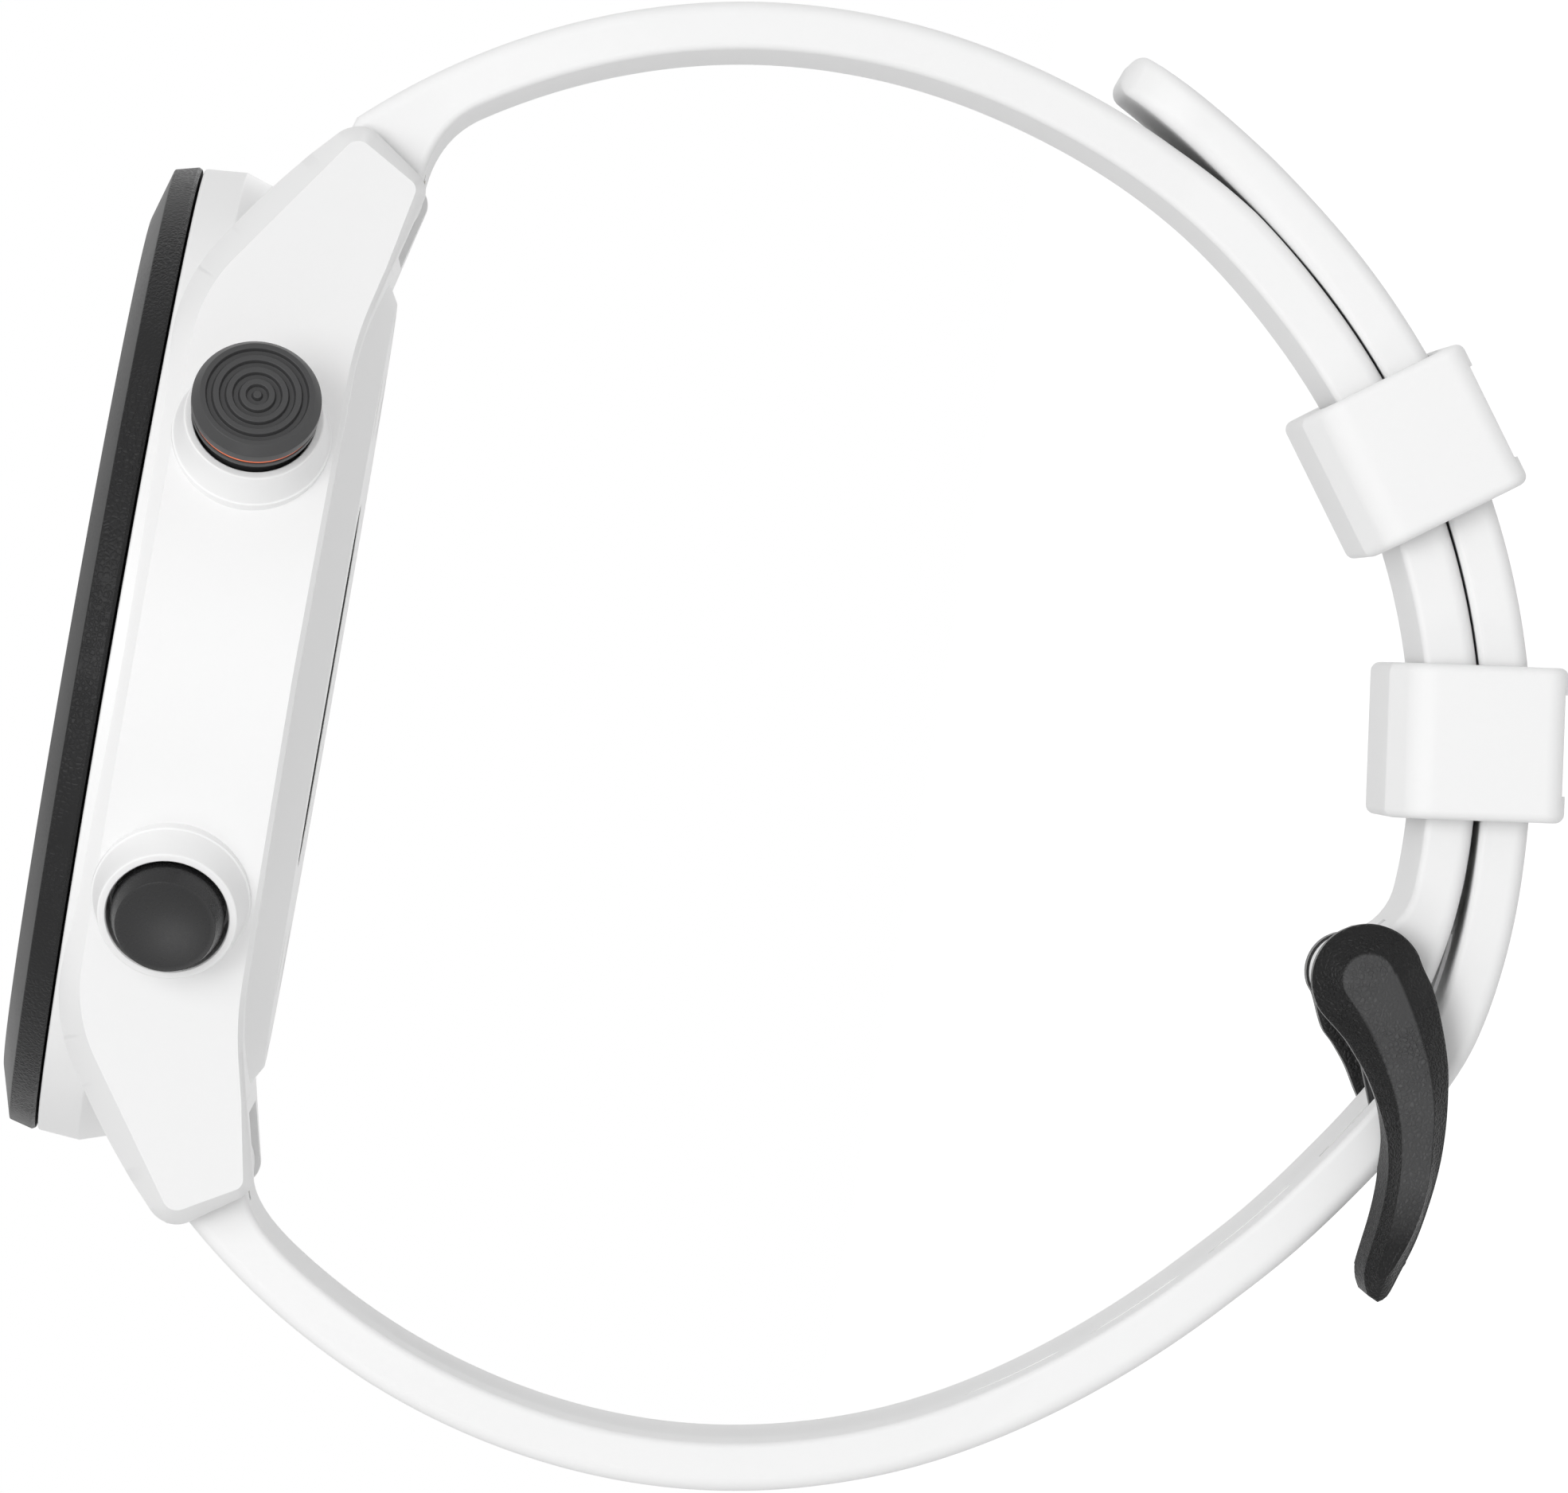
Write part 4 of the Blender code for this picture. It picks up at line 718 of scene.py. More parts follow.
# The buckle's black, with a painted highlight: a lighter colour on the near arm's raised facet and leaning
# flank
BUCKLE_BLACK = Finish(
    "buckle_black", Slot.BLACK_POLYMER, (0.008, 0.008, 0.0082), 0.4, specular=0.2, grain=Grain.LEATHER,
    grain_scale=4600.0, grain_depth=0.05 * MM, tone=0.2, facet_highlight_colour=(0.06, 0.06, 0.061),
)
BUTTON_GREY = Finish(
    "button_grey", Slot.BUTTON_GREY, (0.045, 0.045, 0.046), 0.42, specular=0.4, tone=0.1,
    grain_depth=0.0012 * MM,
)
BUTTON_GLOSS = Finish(
    "button_gloss", Slot.BUTTON_GREY, (0.014, 0.014, 0.0145), 0.27, specular=0.34, tone=0.08,
    grain_depth=0.0004 * MM,
)
ACCENT_ORANGE = Finish(
    "accent_orange", Slot.ACCENT_ORANGE, (0.95, 0.16, 0.03), 0.35, tone=0.05, grain_depth=0.001 * MM
)
LENS_GLASS = Finish(
    "lens_glass", Slot.LENS_GLASS, (0.93, 0.95, 0.95), 0.03, transmission=1.0, tone=0.01,
    gloss_spread=0.01, grain_depth=0.00005 * MM,
)
DISPLAY_DARK = Finish(
    "display_dark", Slot.DISPLAY_DARK, (0.022, 0.024, 0.023), 0.28, specular=0.12, grain=Grain.GRID,
    grain_scale=6800.0, grain_depth=0.002 * MM, tone=0.35,
)
SEAL_RUBBER = Finish(
    "seal_rubber", Slot.SEAL_RUBBER, (0.025, 0.025, 0.025), 0.75, tone=0.15, grain_depth=0.003 * MM
)
STEEL = Finish(
    "brushed_steel", Slot.STEEL, (0.62, 0.6, 0.55), 0.28, metallic=1.0, grain=Grain.BRUSHED,
    grain_scale=9000.0, grain_depth=0.001 * MM, tone=0.12,
)
DARK_STEEL = Finish(
    "dark_steel", Slot.STEEL, (0.02, 0.02, 0.021), 0.45, metallic=0.2, specular=0.2, grain=Grain.BRUSHED,
    grain_scale=9000.0, grain_depth=0.001 * MM, tone=0.12,
)
GOLD = Finish(
    "gold_plate", Slot.GOLD_CONTACT, (0.83, 0.62, 0.27), 0.24, metallic=1.0, tone=0.08,
    grain_depth=0.0006 * MM,
)
BOARD_GREEN = Finish(
    "board_green", Slot.BOARD_GREEN, (0.015, 0.1, 0.04), 0.45, grain=Grain.GRID, grain_scale=900.0,
    grain_depth=0.01 * MM, tone=0.3,
)
CELL_FOIL = Finish(
    "cell_foil", Slot.CELL_FOIL, (0.55, 0.56, 0.58), 0.33, metallic=0.8, grain=Grain.BRUSHED,
    grain_scale=2500.0, grain_depth=0.006 * MM,
)
# The finishes of the frame's own nodes, where they still show
SLOT_FINISHES = {
    finish.slot: finish
    for finish in (
        CASE_WHITE, STRAP_WHITE, BEZEL_BLACK, BUTTON_GLOSS, ACCENT_ORANGE, LENS_GLASS, DISPLAY_DARK,
        SEAL_RUBBER, STEEL, GOLD, BOARD_GREEN, CELL_FOIL,
    )
}


class Wardrobe:
    """The materials of the watch, each built once."""

    def __init__(self) -> None:
        """Start with the shader groups and no material."""
        self.groups = GrainGroups()
        self.made: dict[str, Material] = {}

    def get(self, finish: Finish) -> Material:
        """Find the material of a finish.

        Args:
            finish: The finish.

        Returns:
            The material, built once.
        """
        if finish.name not in self.made:
            self.made[finish.name] = finish.material(self.groups)
        return self.made[finish.name]

    def dress(self, obj: Piece, finish: Finish, body: str, nodes: Sequence[str]) -> None:
        """Give a finished piece its material and its place in the frame.

        Args:
            obj: The piece.
            finish: Its finish.
            body: The body that it moves with.
            nodes: The nodes that it stands for.
        """
        obj.data.materials.clear()
        obj.data.materials.append(self.get(finish))
        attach(obj, body)
        if nodes:
            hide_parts(*nodes)
        LOG.info("%s: %d faces on %s", obj.name, len(obj.data.polygons), body)


# Copies on points


class CopiesTree:
    """Geometry Nodes that put a copy of one piece on each point of a mesh, turned as the point says."""

    def __init__(self) -> None:
        """Build the tree with named inputs for the copied piece, its size and its material."""
        self.tree = bpy.data.node_groups.new("copies_on_points", "GeometryNodeTree")
        for name, way, kind in (
            ("Geometry", "INPUT", "Geometry"),
            ("Copied Piece", "INPUT", "Object"),
            ("Size", "INPUT", "Float"),
            ("Material", "INPUT", "Material"),
            ("Geometry", "OUTPUT", "Geometry"),
        ):
            self.tree.interface.new_socket(name, in_out=way, socket_type="NodeSocket" + kind)
        nodes = self.tree.nodes
        start, end = nodes.new("NodeGroupInput"), nodes.new("NodeGroupOutput")
        points = nodes.new("GeometryNodeMeshToPoints")
        copied = nodes.new("GeometryNodeObjectInfo")
        turn = nodes.new("GeometryNodeInputNamedAttribute")
        turn.data_type = "FLOAT_VECTOR"
        turn.inputs["Name"].default_value = "turn"
        rotation = nodes.new("FunctionNodeEulerToRotation")
        place = nodes.new("GeometryNodeInstanceOnPoints")
        real = nodes.new("GeometryNodeRealizeInstances")
        painted = nodes.new("GeometryNodeSetMaterial")
        for one, given, two, taken in (
            (start, "Geometry", points, "Mesh"),
            (start, "Copied Piece", copied, "Object"),
            (points, "Points", place, "Points"),
            (copied, "Geometry", place, "Instance"),
            (turn, "Attribute", rotation, "Euler"),
            (rotation, "Rotation", place, "Rotation"),
            (start, "Size", place, "Scale"),
            (place, "Instances", real, "Geometry"),
            (real, "Geometry", painted, "Geometry"),
            (start, "Material", painted, "Material"),
            (painted, "Geometry", end, "Geometry"),
        ):
            self.tree.links.new(one.outputs[given], two.inputs[taken])

    def build(
        self,
        name: str,
        copied: Piece,
        places: Places,
        material: Material | None = None,
        size: float = 1.0,
    ) -> Piece:
        """Make one mesh of all the copies.

        Args:
            name: The name of the new piece.
            copied: The piece that is copied, which is used up.
            places: The place of each copy, and its turn about X, Y and Z.
            material: The copies' material.
            size: The copies' scale.

        Returns:
            The new piece, a plain mesh at the origin.
        """
        mesh = bpy.data.meshes.new(name)
        mesh.from_pydata([place for place, _ in places], [], [])
        turns = mesh.attributes.new("turn", "FLOAT_VECTOR", "POINT")
        for item, (_, turn) in zip(turns.data, places):
            item.vector = turn
        obj = bpy.data.objects.new(name, mesh)
        bpy.context.scene.collection.objects.link(obj)
        modifier = obj.modifiers.new("copies", "NODES")
        modifier.node_group = self.tree
        values = {"Copied Piece": copied, "Size": size, "Material": material}
        for item in self.tree.interface.items_tree:
            if item.in_out == "INPUT" and item.name in values:
                modifier[item.identifier] = values[item.name]
        settled(obj)
        bpy.data.objects.remove(copied)
        return obj


# The strap loop


@dataclass(frozen=True)
class StrapLoop:
    """The loop that the buckled strap follows."""

    y: float = 0.5 * MM
    z: float = -18.6054 * MM
    radius: float = 30.45 * MM

    def direction(self, angle: float) -> Vector:
        """The unit direction in the YZ plane that points out of the loop at an angle."""
        return Vector((sin(radians(angle)), -cos(radians(angle))))

    def point(self, angle: float, rise: float = 0.0) -> Vector:
        """The Y and Z of an angle and a rise over the loop's radius."""
        return Vector((self.y, self.z)) + (self.radius + rise) * self.direction(angle)

    def frame(self, angle: float) -> Matrix:
        """A frame on the loop's axis whose -Z points out of the loop at an angle."""
        return Matrix.Translation((0, self.y, self.z)) @ Matrix.Rotation(radians(angle), 4, "X")


LOOP = StrapLoop()


def station_rise(stations: Stations, angle: float) -> float:
    """The rise at a place on a smooth curve through stations.

    Args:
        stations: Places and the rise at each, in rising order.
        angle: The place that is asked for.

    Returns:
        The rise there.
    """
    count = len(stations)
    index = max(i for i in range(count - 1) if i == 0 or stations[i][0] <= angle)

    def slope(i: int) -> float:
        """The curve's slope at a station."""
        low, high = stations[max(i - 1, 0)], stations[min(i + 1, count - 1)]
        return (high[1] - low[1]) / (high[0] - low[0])

    (a0, r0), (a1, r1) = stations[index], stations[index + 1]
    span = a1 - a0
    t = (angle - a0) / span
    level = (1 - t) ** 2 * ((1 + 2 * t) * r0 + t * span * slope(index))
    return level + t * t * ((3 - 2 * t) * r1 - (1 - t) * span * slope(index + 1))


def spread(start: float, end: float, count: int) -> list[float]:
    """Evenly spaced numbers, both ends included."""
    return [start + (end - start) * i / (count - 1) for i in range(count)]


def button_frame(angle: float, height: float) -> Matrix:
    """A frame on the case's axis at a height, whose Z points out along a button."""
    turn = Matrix.Rotation(radians(angle), 4, "Z") @ Matrix.Rotation(pi / 2, 4, "Y")
    return Matrix.Translation((0, 0, height)) @ turn


BUTTON_ANGLES = {"start": 27.0, "back": -27.0, "light": 153.0, "up": 180.0, "down": 207.0}
BUTTON_Z = 5.1 * MM
SIDE_RADIUS = 22.5 * MM
BOSS_LIP = 24.36 * MM
BORE_RADIUS = 2.7 * MM
BORE_FLOOR = BOSS_LIP - 1.95 * MM
CAVITY_RADIUS = 18.3 * MM
BAR_Y = 22.3 * MM
BAR_Z = 1.8 * MM
SCREW_CIRCLE = 14.5 * MM
SCREW_ANGLES = (60.0, 120.0, 240.0, 300.0)
BUCKLE_ANGLE = -10.6
BUCKLE_DROP = 0.95 * MM
BUCKLE_BAR_HOLE = 1.05 * MM
TAIL_RISE = 2.43 * MM


@dataclass
class WatchCase:
    """The white case: a turned body, a side band that runs out into the lugs, and five button bosses."""

    tip_x: float = 12.6 * MM
    tip_y: float = 24.9 * MM
    slot_half: float = 10.2 * MM
    slot_floor: float = 19.2 * MM
    # How steep the chamfer is at a Y
    chamfer_slopes: Stations = ((0.0, 1.25), (13.0, 1.25), (18.0, 3.0), (26.0, 3.0))
    # The flank's outline: Y, Z and fillet radius
    flank: tuple[Corner, ...] = (
        (0.0, 8.45, 0.0), (16.05, 8.46, 7.0), (24.12, 2.9, 0.65), (22.36, -0.12, 0.5), (18.6, 0.6, 3.0),
        (15.2, 1.4, 26.0), (0.0, 1.5, 0.0),
    )
    # The width of the front line's chamfer at a Y, down to the corner of the lug's tip
    chamfer_stations: Stations = (
        (0.0, 0.88), (13.0, 0.85), (16.5, 1.05), (20.0, 1.16), (22.6, 0.95), (23.9, 0.7),
    )
    corner_z: float = 2.9
    # The foot of the tip in millimetres, the chamfer's width there, and how much it gains up to the corner
    foot_y: float = 22.0
    foot_z: float = -0.1
    foot_width: float = 0.42
    foot_gain: float = 0.3
    # The same along the back line, from where it starts to gain
    back_y: float = 18.6
    back_width: float = 0.22
    back_gain: float = 0.2
    slot_ease: float = 0.22 * MM

    def plan_x(self, y: float) -> float:
        """How far the flank stands out at a Y: on the round side, then on its tangent to the lug's tip.

        Args:
            y: The place along the flank.

        Returns:
            The flank's X.
        """
        reach = sqrt(self.tip_x**2 + self.tip_y**2)
        tangent = atan2(self.tip_y, self.tip_x) - acos(SIDE_RADIUS / reach)
        touch_x, touch_y = SIDE_RADIUS * cos(tangent), SIDE_RADIUS * sin(tangent)
        if abs(y) <= touch_y:
            return sqrt(SIDE_RADIUS**2 - y * y)
        share = (abs(y) - touch_y) / (self.tip_y - touch_y)
        return touch_x + share * (self.tip_x - touch_x)

    def half_outline(self) -> tuple[list[Vector], list[Vector]]:
        """The flank's front line and back line from the middle to the lug's tip.

        Returns:
            Both lines, as points of Y and Z.
        """
        corners = [(y * MM, z * MM, radius * MM) for y, z, radius in self.flank]
        line = filleted(corners, steps=14)
        tip = max(range(len(line)), key=lambda i: line[i].x)
        return line[: tip + 1], line[tip:][::-1]

    def level(self, line: Sequence[Vector], y: float) -> float:
        """The height of a line at a Y.

        Args:
            line: Points of Y and Z, with Y growing.
            y: The Y.

        Returns:
            The Z there.
        """
        for one, two in zip(line, line[1:]):
            if y <= two.x + WELD:
                span = two.x - one.x
                return one.y + (two.y - one.y) * ((y - one.x) / span if span > WELD else 0.0)
        return line[-1].y

    def chamfer(self, y: float, front: bool, z: float) -> float:
        """The width of the edge's chamfer.

        Args:
            y: The place along the flank.
            front: Whether it is on the front line.
            z: Its height.

        Returns:
            The width.
        """
        y = abs(y) / MM
        last_y, last_width = self.chamfer_stations[-1]
        if front and z > self.corner_z * MM:
            return station_rise(self.chamfer_stations, y) * MM if y < last_y else last_width * MM
        if y > self.foot_y:
            return (self.foot_width + self.foot_gain * clamped((z / MM - self.foot_z) / self.corner_z)) * MM
        share = max(0.0, (y - self.back_y) / (self.foot_y - self.back_y))
        return (self.back_width + self.back_gain * share) * MM

    def band(self) -> Piece:
        """The side band with both pairs of lugs.

        Returns:
            The solid.
        """
        front, back = self.half_outline()
        even = {round(0.6 * MM * i, 6) for i in range(38)}
        marks = sorted({round(p.x, 6) for p in front + back} | even)
        limit = front[-1].x
        marks = [y for y in marks if y < limit - 0.01 * MM] + [limit]
        rows = [-y for y in reversed(marks) if y > 0] + marks
        top = [Vector((y, self.level(front, abs(y)))) for y in rows]
        low = [Vector((y, self.level(back, abs(y)))) for y in rows]
        outline = low[:1] + top + low[:0:-1]
        fronts = [False] + [True] * len(top) + [False] * (len(low) - 1)
        normals = inward_normals(outline)
        shape = bmesh.new()
        loops = []
        for side in (1, -1):
            flank, edge = [], []
            for point, normal, is_front in zip(outline, normals, fronts):
                wide = self.chamfer(point.x, is_front, point.y)
                flank.append(shape.verts.new((side * self.plan_x(point.x), *point)))
                out = point - normal * wide
                inset = wide * station_rise(self.chamfer_slopes, abs(point.x) / MM)
                edge.append(shape.verts.new((side * (self.plan_x(point.x) - inset), *out)))
            loops.append((flank, edge))
            bridge(shape, flank, edge)
            count = len(top)
            fore, aft = flank[1 : count + 1], flank[:1] + flank[: count : -1]
            for i in range(count - 1):
                shape.faces.new(list(dict.fromkeys((fore[i], fore[i + 1], aft[i + 1], aft[i]))))
        bridge(shape, loops[0][1], loops[1][1])
        return object_of("case_band", shape)

    def boss(self, angle: float) -> Piece:
        """One button boss: a low rounded foot, a slightly hollow cone and a rounded lip.

        Args:
            angle: The button's place round the case.

        Returns:
            The solid.
        """
        corners = [
            (0.0, BOSS_LIP, 0.0),
            (3.06 * MM, BOSS_LIP, 0.1 * MM),
            (3.18 * MM, BOSS_LIP - 0.6 * MM, 1.2 * MM),
            (3.42 * MM, SIDE_RADIUS + 0.2 * MM, 0.5 * MM),
            (3.5 * MM, SIDE_RADIUS + 0.16 * MM, 0.04 * MM),
            (3.52 * MM, SIDE_RADIUS - 0.3 * MM, 0.05 * MM),
            (3.52 * MM, CAVITY_RADIUS, 0.0),
            (0.0, CAVITY_RADIUS, 0.0),
        ]
        return turned("boss", filleted(corners), 96, button_frame(angle, BUTTON_Z))

    def bore(self, angle: float) -> Piece:
        """The space of one button, from its bore down to the stem's hole.

        Args:
            angle: The button's place round the case.

        Returns:
            The cutter.
        """
        profile = [
            (0.0, 1.2 * BOSS_LIP),
            (BORE_RADIUS + 0.95 * MM, BOSS_LIP + 0.9 * MM),
            (BORE_RADIUS + 0.09 * MM, BOSS_LIP + 0.05 * MM),
            (BORE_RADIUS, BOSS_LIP - 0.06 * MM),
            (BORE_RADIUS, BORE_FLOOR),
            (1.85 * MM, BORE_FLOOR),
            (1.85 * MM, BORE_FLOOR - 1.35 * MM),
            (1.2 * MM, BORE_FLOOR - 1.35 * MM),
            (1.2 * MM, CAVITY_RADIUS - 1.6 * MM),
            (0.0, CAVITY_RADIUS - 1.6 * MM),
        ]
        return turned("bore", profile, 96, button_frame(angle, BUTTON_Z))

    def body(self) -> Piece:
        """The turned body: front ring, waist and back cone.

        Returns:
            The solid.
        """
        corners = [
            (0.0, 9.5, 0.0), (21.85, 9.5, 0.12), (22.0, 7.6, 0.25), (21.6, 6.4, 0.25), (19.9, 4.9, 0.3),
            (19.9, 1.45, 0.1), (17.35, 0.0, 0.22), (0.0, 0.0, 0.0),
        ]
        return turned("mid_case_body", [p * MM for p in filleted(corners)], 240)

    def cavity(self) -> Piece:
        """The turned space inside, with the seats of the bezel, the display carrier and the back cover.

        Returns:
            The cutter.
        """
        profile = [
            (0.0, 19.0), (20.5, 19.0), (20.5, 8.5), (19.2, 8.5), (19.2, 7.3), (18.3, 7.3), (18.3, 1.9),
            (16.1, 1.9), (16.1, 1.1), (16.8, 1.1), (16.8, 0.12), (16.95, -0.03), (16.95, -9.5), (0.0, -9.5),
        ]
        return turned("cavity", in_metres(profile), 192)

    def slotted(self, band: Piece) -> Piece:
        """Cut the strap's slots between the lugs and ease their edges.

        Args:
            band: The side band.

        Returns:
            The same band.
        """
        for side in (1, -1):
            shape = bmesh.new()
            size = Matrix.Diagonal((2 * self.slot_half, 16 * MM, 60 * MM, 1))
            middle = Matrix.Translation((0, side * (self.slot_floor + 8 * MM), 0))
            bmesh.ops.create_cube(shape, size=1, matrix=middle @ size)
            combine(band, object_of("slot", shape), Merge.CUT)
        shape = bmesh.new()
        shape.from_mesh(band.data)
        bmesh.ops.remove_doubles(shape, verts=shape.verts, dist=WELD)

        def on_wall(vert: bmesh.types.BMVert) -> bool:
            """Whether a vertex lies on a side wall of a slot."""
            return abs(abs(vert.co.x) - self.slot_half) < CUT_SLIVER and abs(vert.co.y) > 18.5 * MM

        edges = [
            edge
            for edge in shape.edges
            if all(on_wall(vert) for vert in edge.verts)
            and len(edge.link_faces) == 2
            and degrees(edge.calc_face_angle()) > 50
        ]
        bmesh.ops.bevel(
            shape, geom=edges, offset=self.slot_ease, segments=3, profile=0.5, affect="EDGES",
            clamp_overlap=True,
        )
        shape.to_mesh(band.data)
        shape.free()
        return band

    def build(self, wardrobe: Wardrobe) -> None:
        """Build the case and dress it.

        Args:
            wardrobe: The materials of the watch.
        """
        case = combine(self.body(), self.slotted(self.band()), Merge.JOIN)
        for angle in BUTTON_ANGLES.values():
            combine(case, self.boss(angle), Merge.JOIN)
        for angle in BUTTON_ANGLES.values():
            combine(case, self.bore(angle), Merge.CUT)
        combine(case, self.cavity(), Merge.CUT)
        for angle in SCREW_ANGLES:
            out = Matrix.Rotation(radians(angle), 4, "Z") @ Matrix.Translation((SCREW_CIRCLE, 0, 0))
            post = [(0.9, 5.99), (1.8, 5.99), (1.8, 1.5), (0.9, 1.5)]
            combine(case, turned("post", in_metres(post), 32, out), Merge.JOIN)
        case.name = "case_body"
        shaded(cleaned(case), 24.0, weighted=True)
        wardrobe.dress(case, CASE_WHITE, "watch", ["mid_case"])


@dataclass
class FrontGlass:
    """The bezel, the lens and the display under it."""

    bottom: float = 9.62 * MM
    top: float = 11.47 * MM
    rim: float = 19.35 * MM

    def bezel(self) -> Piece:
        """The bezel ring: a grained side, a wide front bevel and a thin inner rim.

        Returns:
            The ring.
        """
        low, top = self.bottom, self.top
        outer = [
            (self.rim - 0.2 * MM, top - 0.02 * MM, 0.0),
            (self.rim, top, 0.06 * MM),
            (21.6 * MM, low + 1.2 * MM, 0.09 * MM),
            (21.87 * MM, low + 0.16 * MM, 0.05 * MM),
            (21.78 * MM, low, 0.04 * MM),
            (20.3 * MM, low, 0.05 * MM),
            (20.3 * MM, low - 0.35 * MM, 0.0),
        ]
        inner = [(19.4, 9.27), (19.4, 9.37), (17.8, 9.37), (17.8, 9.97), (19.15, 9.97)]
        profile = [tuple(p) for p in filleted(outer, steps=4)] + in_metres(inner)
        return turned("bezel_ring", profile, 288)

    def lens(self) -> Piece:
        """The lens: a flat disc with polished edge chamfers.

        Returns:
            The disc.
        """
        top, low, radius = 11.37 * MM, 10.17 * MM, 18.95 * MM
        edge = 0.15 * MM
        side = [(radius - edge, top), (radius, top - edge), (radius, low + edge), (radius - edge, low)]
        return turned("lens_disc", [(0, top), *side, (0, low)], 192)

    def display(self) -> Piece:
        """The display panel with a stepped border."""
        profile = [(0, 9.43), (15.9, 9.43), (16.0, 9.5), (17.2, 9.5), (17.2, 8.62), (16.9, 8.4), (0, 8.4)]
        return turned("display_module", in_metres(profile), 144)

    def build(self, wardrobe: Wardrobe) -> None:
        """Build the front pieces and dress them.

        Args:
            wardrobe: The materials of the watch.
        """
        bezel = shaded(self.bezel(), 16.0)
        wardrobe.dress(bezel, BEZEL_BLACK, "watch", ["bezel"])
        lens = shaded(self.lens())
        wardrobe.dress(lens, LENS_GLASS, "watch", ["lens"])
        display = shaded(self.display())
        wardrobe.dress(display, DISPLAY_DARK, "watch", ["display_panel"])


@dataclass
class CaseBack:
    """The back cover with its charging recess, contacts and screws."""

    recess_x: float = 6.2 * MM
    recess_size: Pair = (10.6 * MM, 16.0 * MM)
    recess_depth: float = 0.4 * MM
    pin_x: float = 9.4 * MM
    pin_pitch: float = 2.6 * MM

    def recess_rows(self, shape: Shape, steps: Sequence[Pair]) -> list[list]:
        """Outlines of the recess at several heights.

        Args:
            shape: The mesh in the making.
            steps: The Z of each outline and how far it is grown, in millimetres.

        Returns:
            A row of vertices for each outline.
        """
        wide, long = self.recess_size[0] / 2, self.recess_size[1] / 2
        corner = 0.4 * self.recess_size[0]
        outline = rounded_box(wide, long, corner, 12)
        rows = []
        for z, growth in steps:
            grown = [p * (1 + growth * MM / wide) for p in outline]
            rows.append([shape.verts.new((self.recess_x + p.x, p.y, z * MM)) for p in grown])
        return rows

    def painted_recess_shade(self) -> Piece:
        """A thin dark strip along the recess's wall: painted shade that stands in for the shadow on the
        recess's far wall.

        Returns:
            The strip.
        """
        shape = bmesh.new()
        rows = self.recess_rows(shape, ((0.03, 0.1), (0.33, -0.01), (0.33, -0.13), (0.03, -0.02)))
        for one, two in zip(rows, rows[1:] + rows[:1]):
            bridge(shape, one, two)
        return object_of("recess_seal", shape)

    def recess(self) -> Piece:
        """The cutter of the recess: a rounded plate with drafted sides.

        Returns:
            The cutter.
        """
        shape = bmesh.new()
        depth = self.recess_depth / MM
        steps = ((-1.0, 0.12), (0.0, 0.12), (depth - 0.06, 0.0), (depth, -0.08))
        capped(shape, self.recess_rows(shape, steps))
        return object_of("recess", shape)

    def screw_places(self) -> Places:
        """Where the back screws are.

        Returns:
            A place and a turn for each.
        """
        made = []
        for angle in SCREW_ANGLES:
            turn = radians(angle)
            place = Vector((SCREW_CIRCLE * cos(turn), SCREW_CIRCLE * sin(turn), 0))
            made.append((place, Vector((0, 0, turn))))
        return made

    def pin_places(self) -> Places:
        """The place and turn of each charging pin."""
        return [(Vector((self.pin_x, (i - 1.5) * self.pin_pitch, 0)), Vector()) for i in range(4)]

    def cover(self, copies: CopiesTree) -> Piece:
        """The cover plate with its recess, pin holes and screw seats.

        Args:
            copies: The tree that repeats a piece.

        Returns:
            The plate.
        """
        corners = [
            (0, 1.2, 0), (15.9, 1.2, 0.1), (15.9, 0.6, 0), (16.6, 0.6, 0.05), (16.6, 0, 0.18), (0, 0, 0),
        ]
        plate = turned("back_plate", [p * MM for p in filleted(corners)], 192)
        combine(plate, self.recess(), Merge.CUT)
        hole = [(0, 3.0), (0.9, 3.0), (0.9, -1.0), (0, -1.0)]
        pin_hole = turned("pin_hole", in_metres(hole), 32)
        combine(plate, copies.build("pin_holes", pin_hole, self.pin_places()), Merge.CUT)
        seat = [
            (0, 3.0), (0.9, 3.0), (0.9, 0.8), (1.4, 0.8), (1.4, 0.12), (1.55, -0.03), (1.55, -1.0), (0, -1.0),
        ]
        screw_seat = turned("screw_seat", in_metres(seat), 40)
        return combine(plate, copies.build("screw_seats", screw_seat, self.screw_places()), Merge.CUT)

    def screw(self) -> Piece:
        """One back screw with a domed head and a six-lobed drive.

        Returns:
            The screw.
        """
        corners = [
            (0, 4.0, 0), (0.45, 4.0, 0), (0.6, 3.8, 0), (0.6, 0.7, 0), (1.2, 0.7, 0.05), (1.2, 0.22, 0.1),
            (0.95, 0.1, 0.15), (0, 0.1, 0),
        ]
        screw = turned("screw", [p * MM for p in filleted(corners, steps=4)], 36)
        shape = bmesh.new()
        lobes = [0.62 + 0.1 * cos(6 * 2 * pi * i / 48) for i in range(48)]
        rows = []
        for z in (-0.5, 0.42):
            turns = [(lobe, 2 * pi * i / 48) for i, lobe in enumerate(lobes)]
            rows.append([shape.verts.new((r * cos(t) * MM, r * sin(t) * MM, z * MM)) for r, t in turns])
        capped(shape, rows)
        return combine(screw, object_of("drive", shape), Merge.CUT)

    def pin(self) -> Piece:
        """One charging pin with a domed face."""
        corners = [(0, 2.4, 0), (0.7, 2.4, 0.06), (0.7, 0.26, 0.12), (0.42, 0.2, 0.3), (0, 0.2, 0)]
        return turned("pin", [p * MM for p in filleted(corners, steps=4)], 32)

    def build(self, wardrobe: Wardrobe, copies: CopiesTree) -> None:
        """Build the back pieces and dress them.

        Args:
            wardrobe: The materials of the watch.
            copies: The tree that repeats a piece.
        """
        cover = shaded(cleaned(self.cover(copies)), 24.0, weighted=True)
        wardrobe.dress(cover, CASE_WHITE, "watch", ["back_cover"])
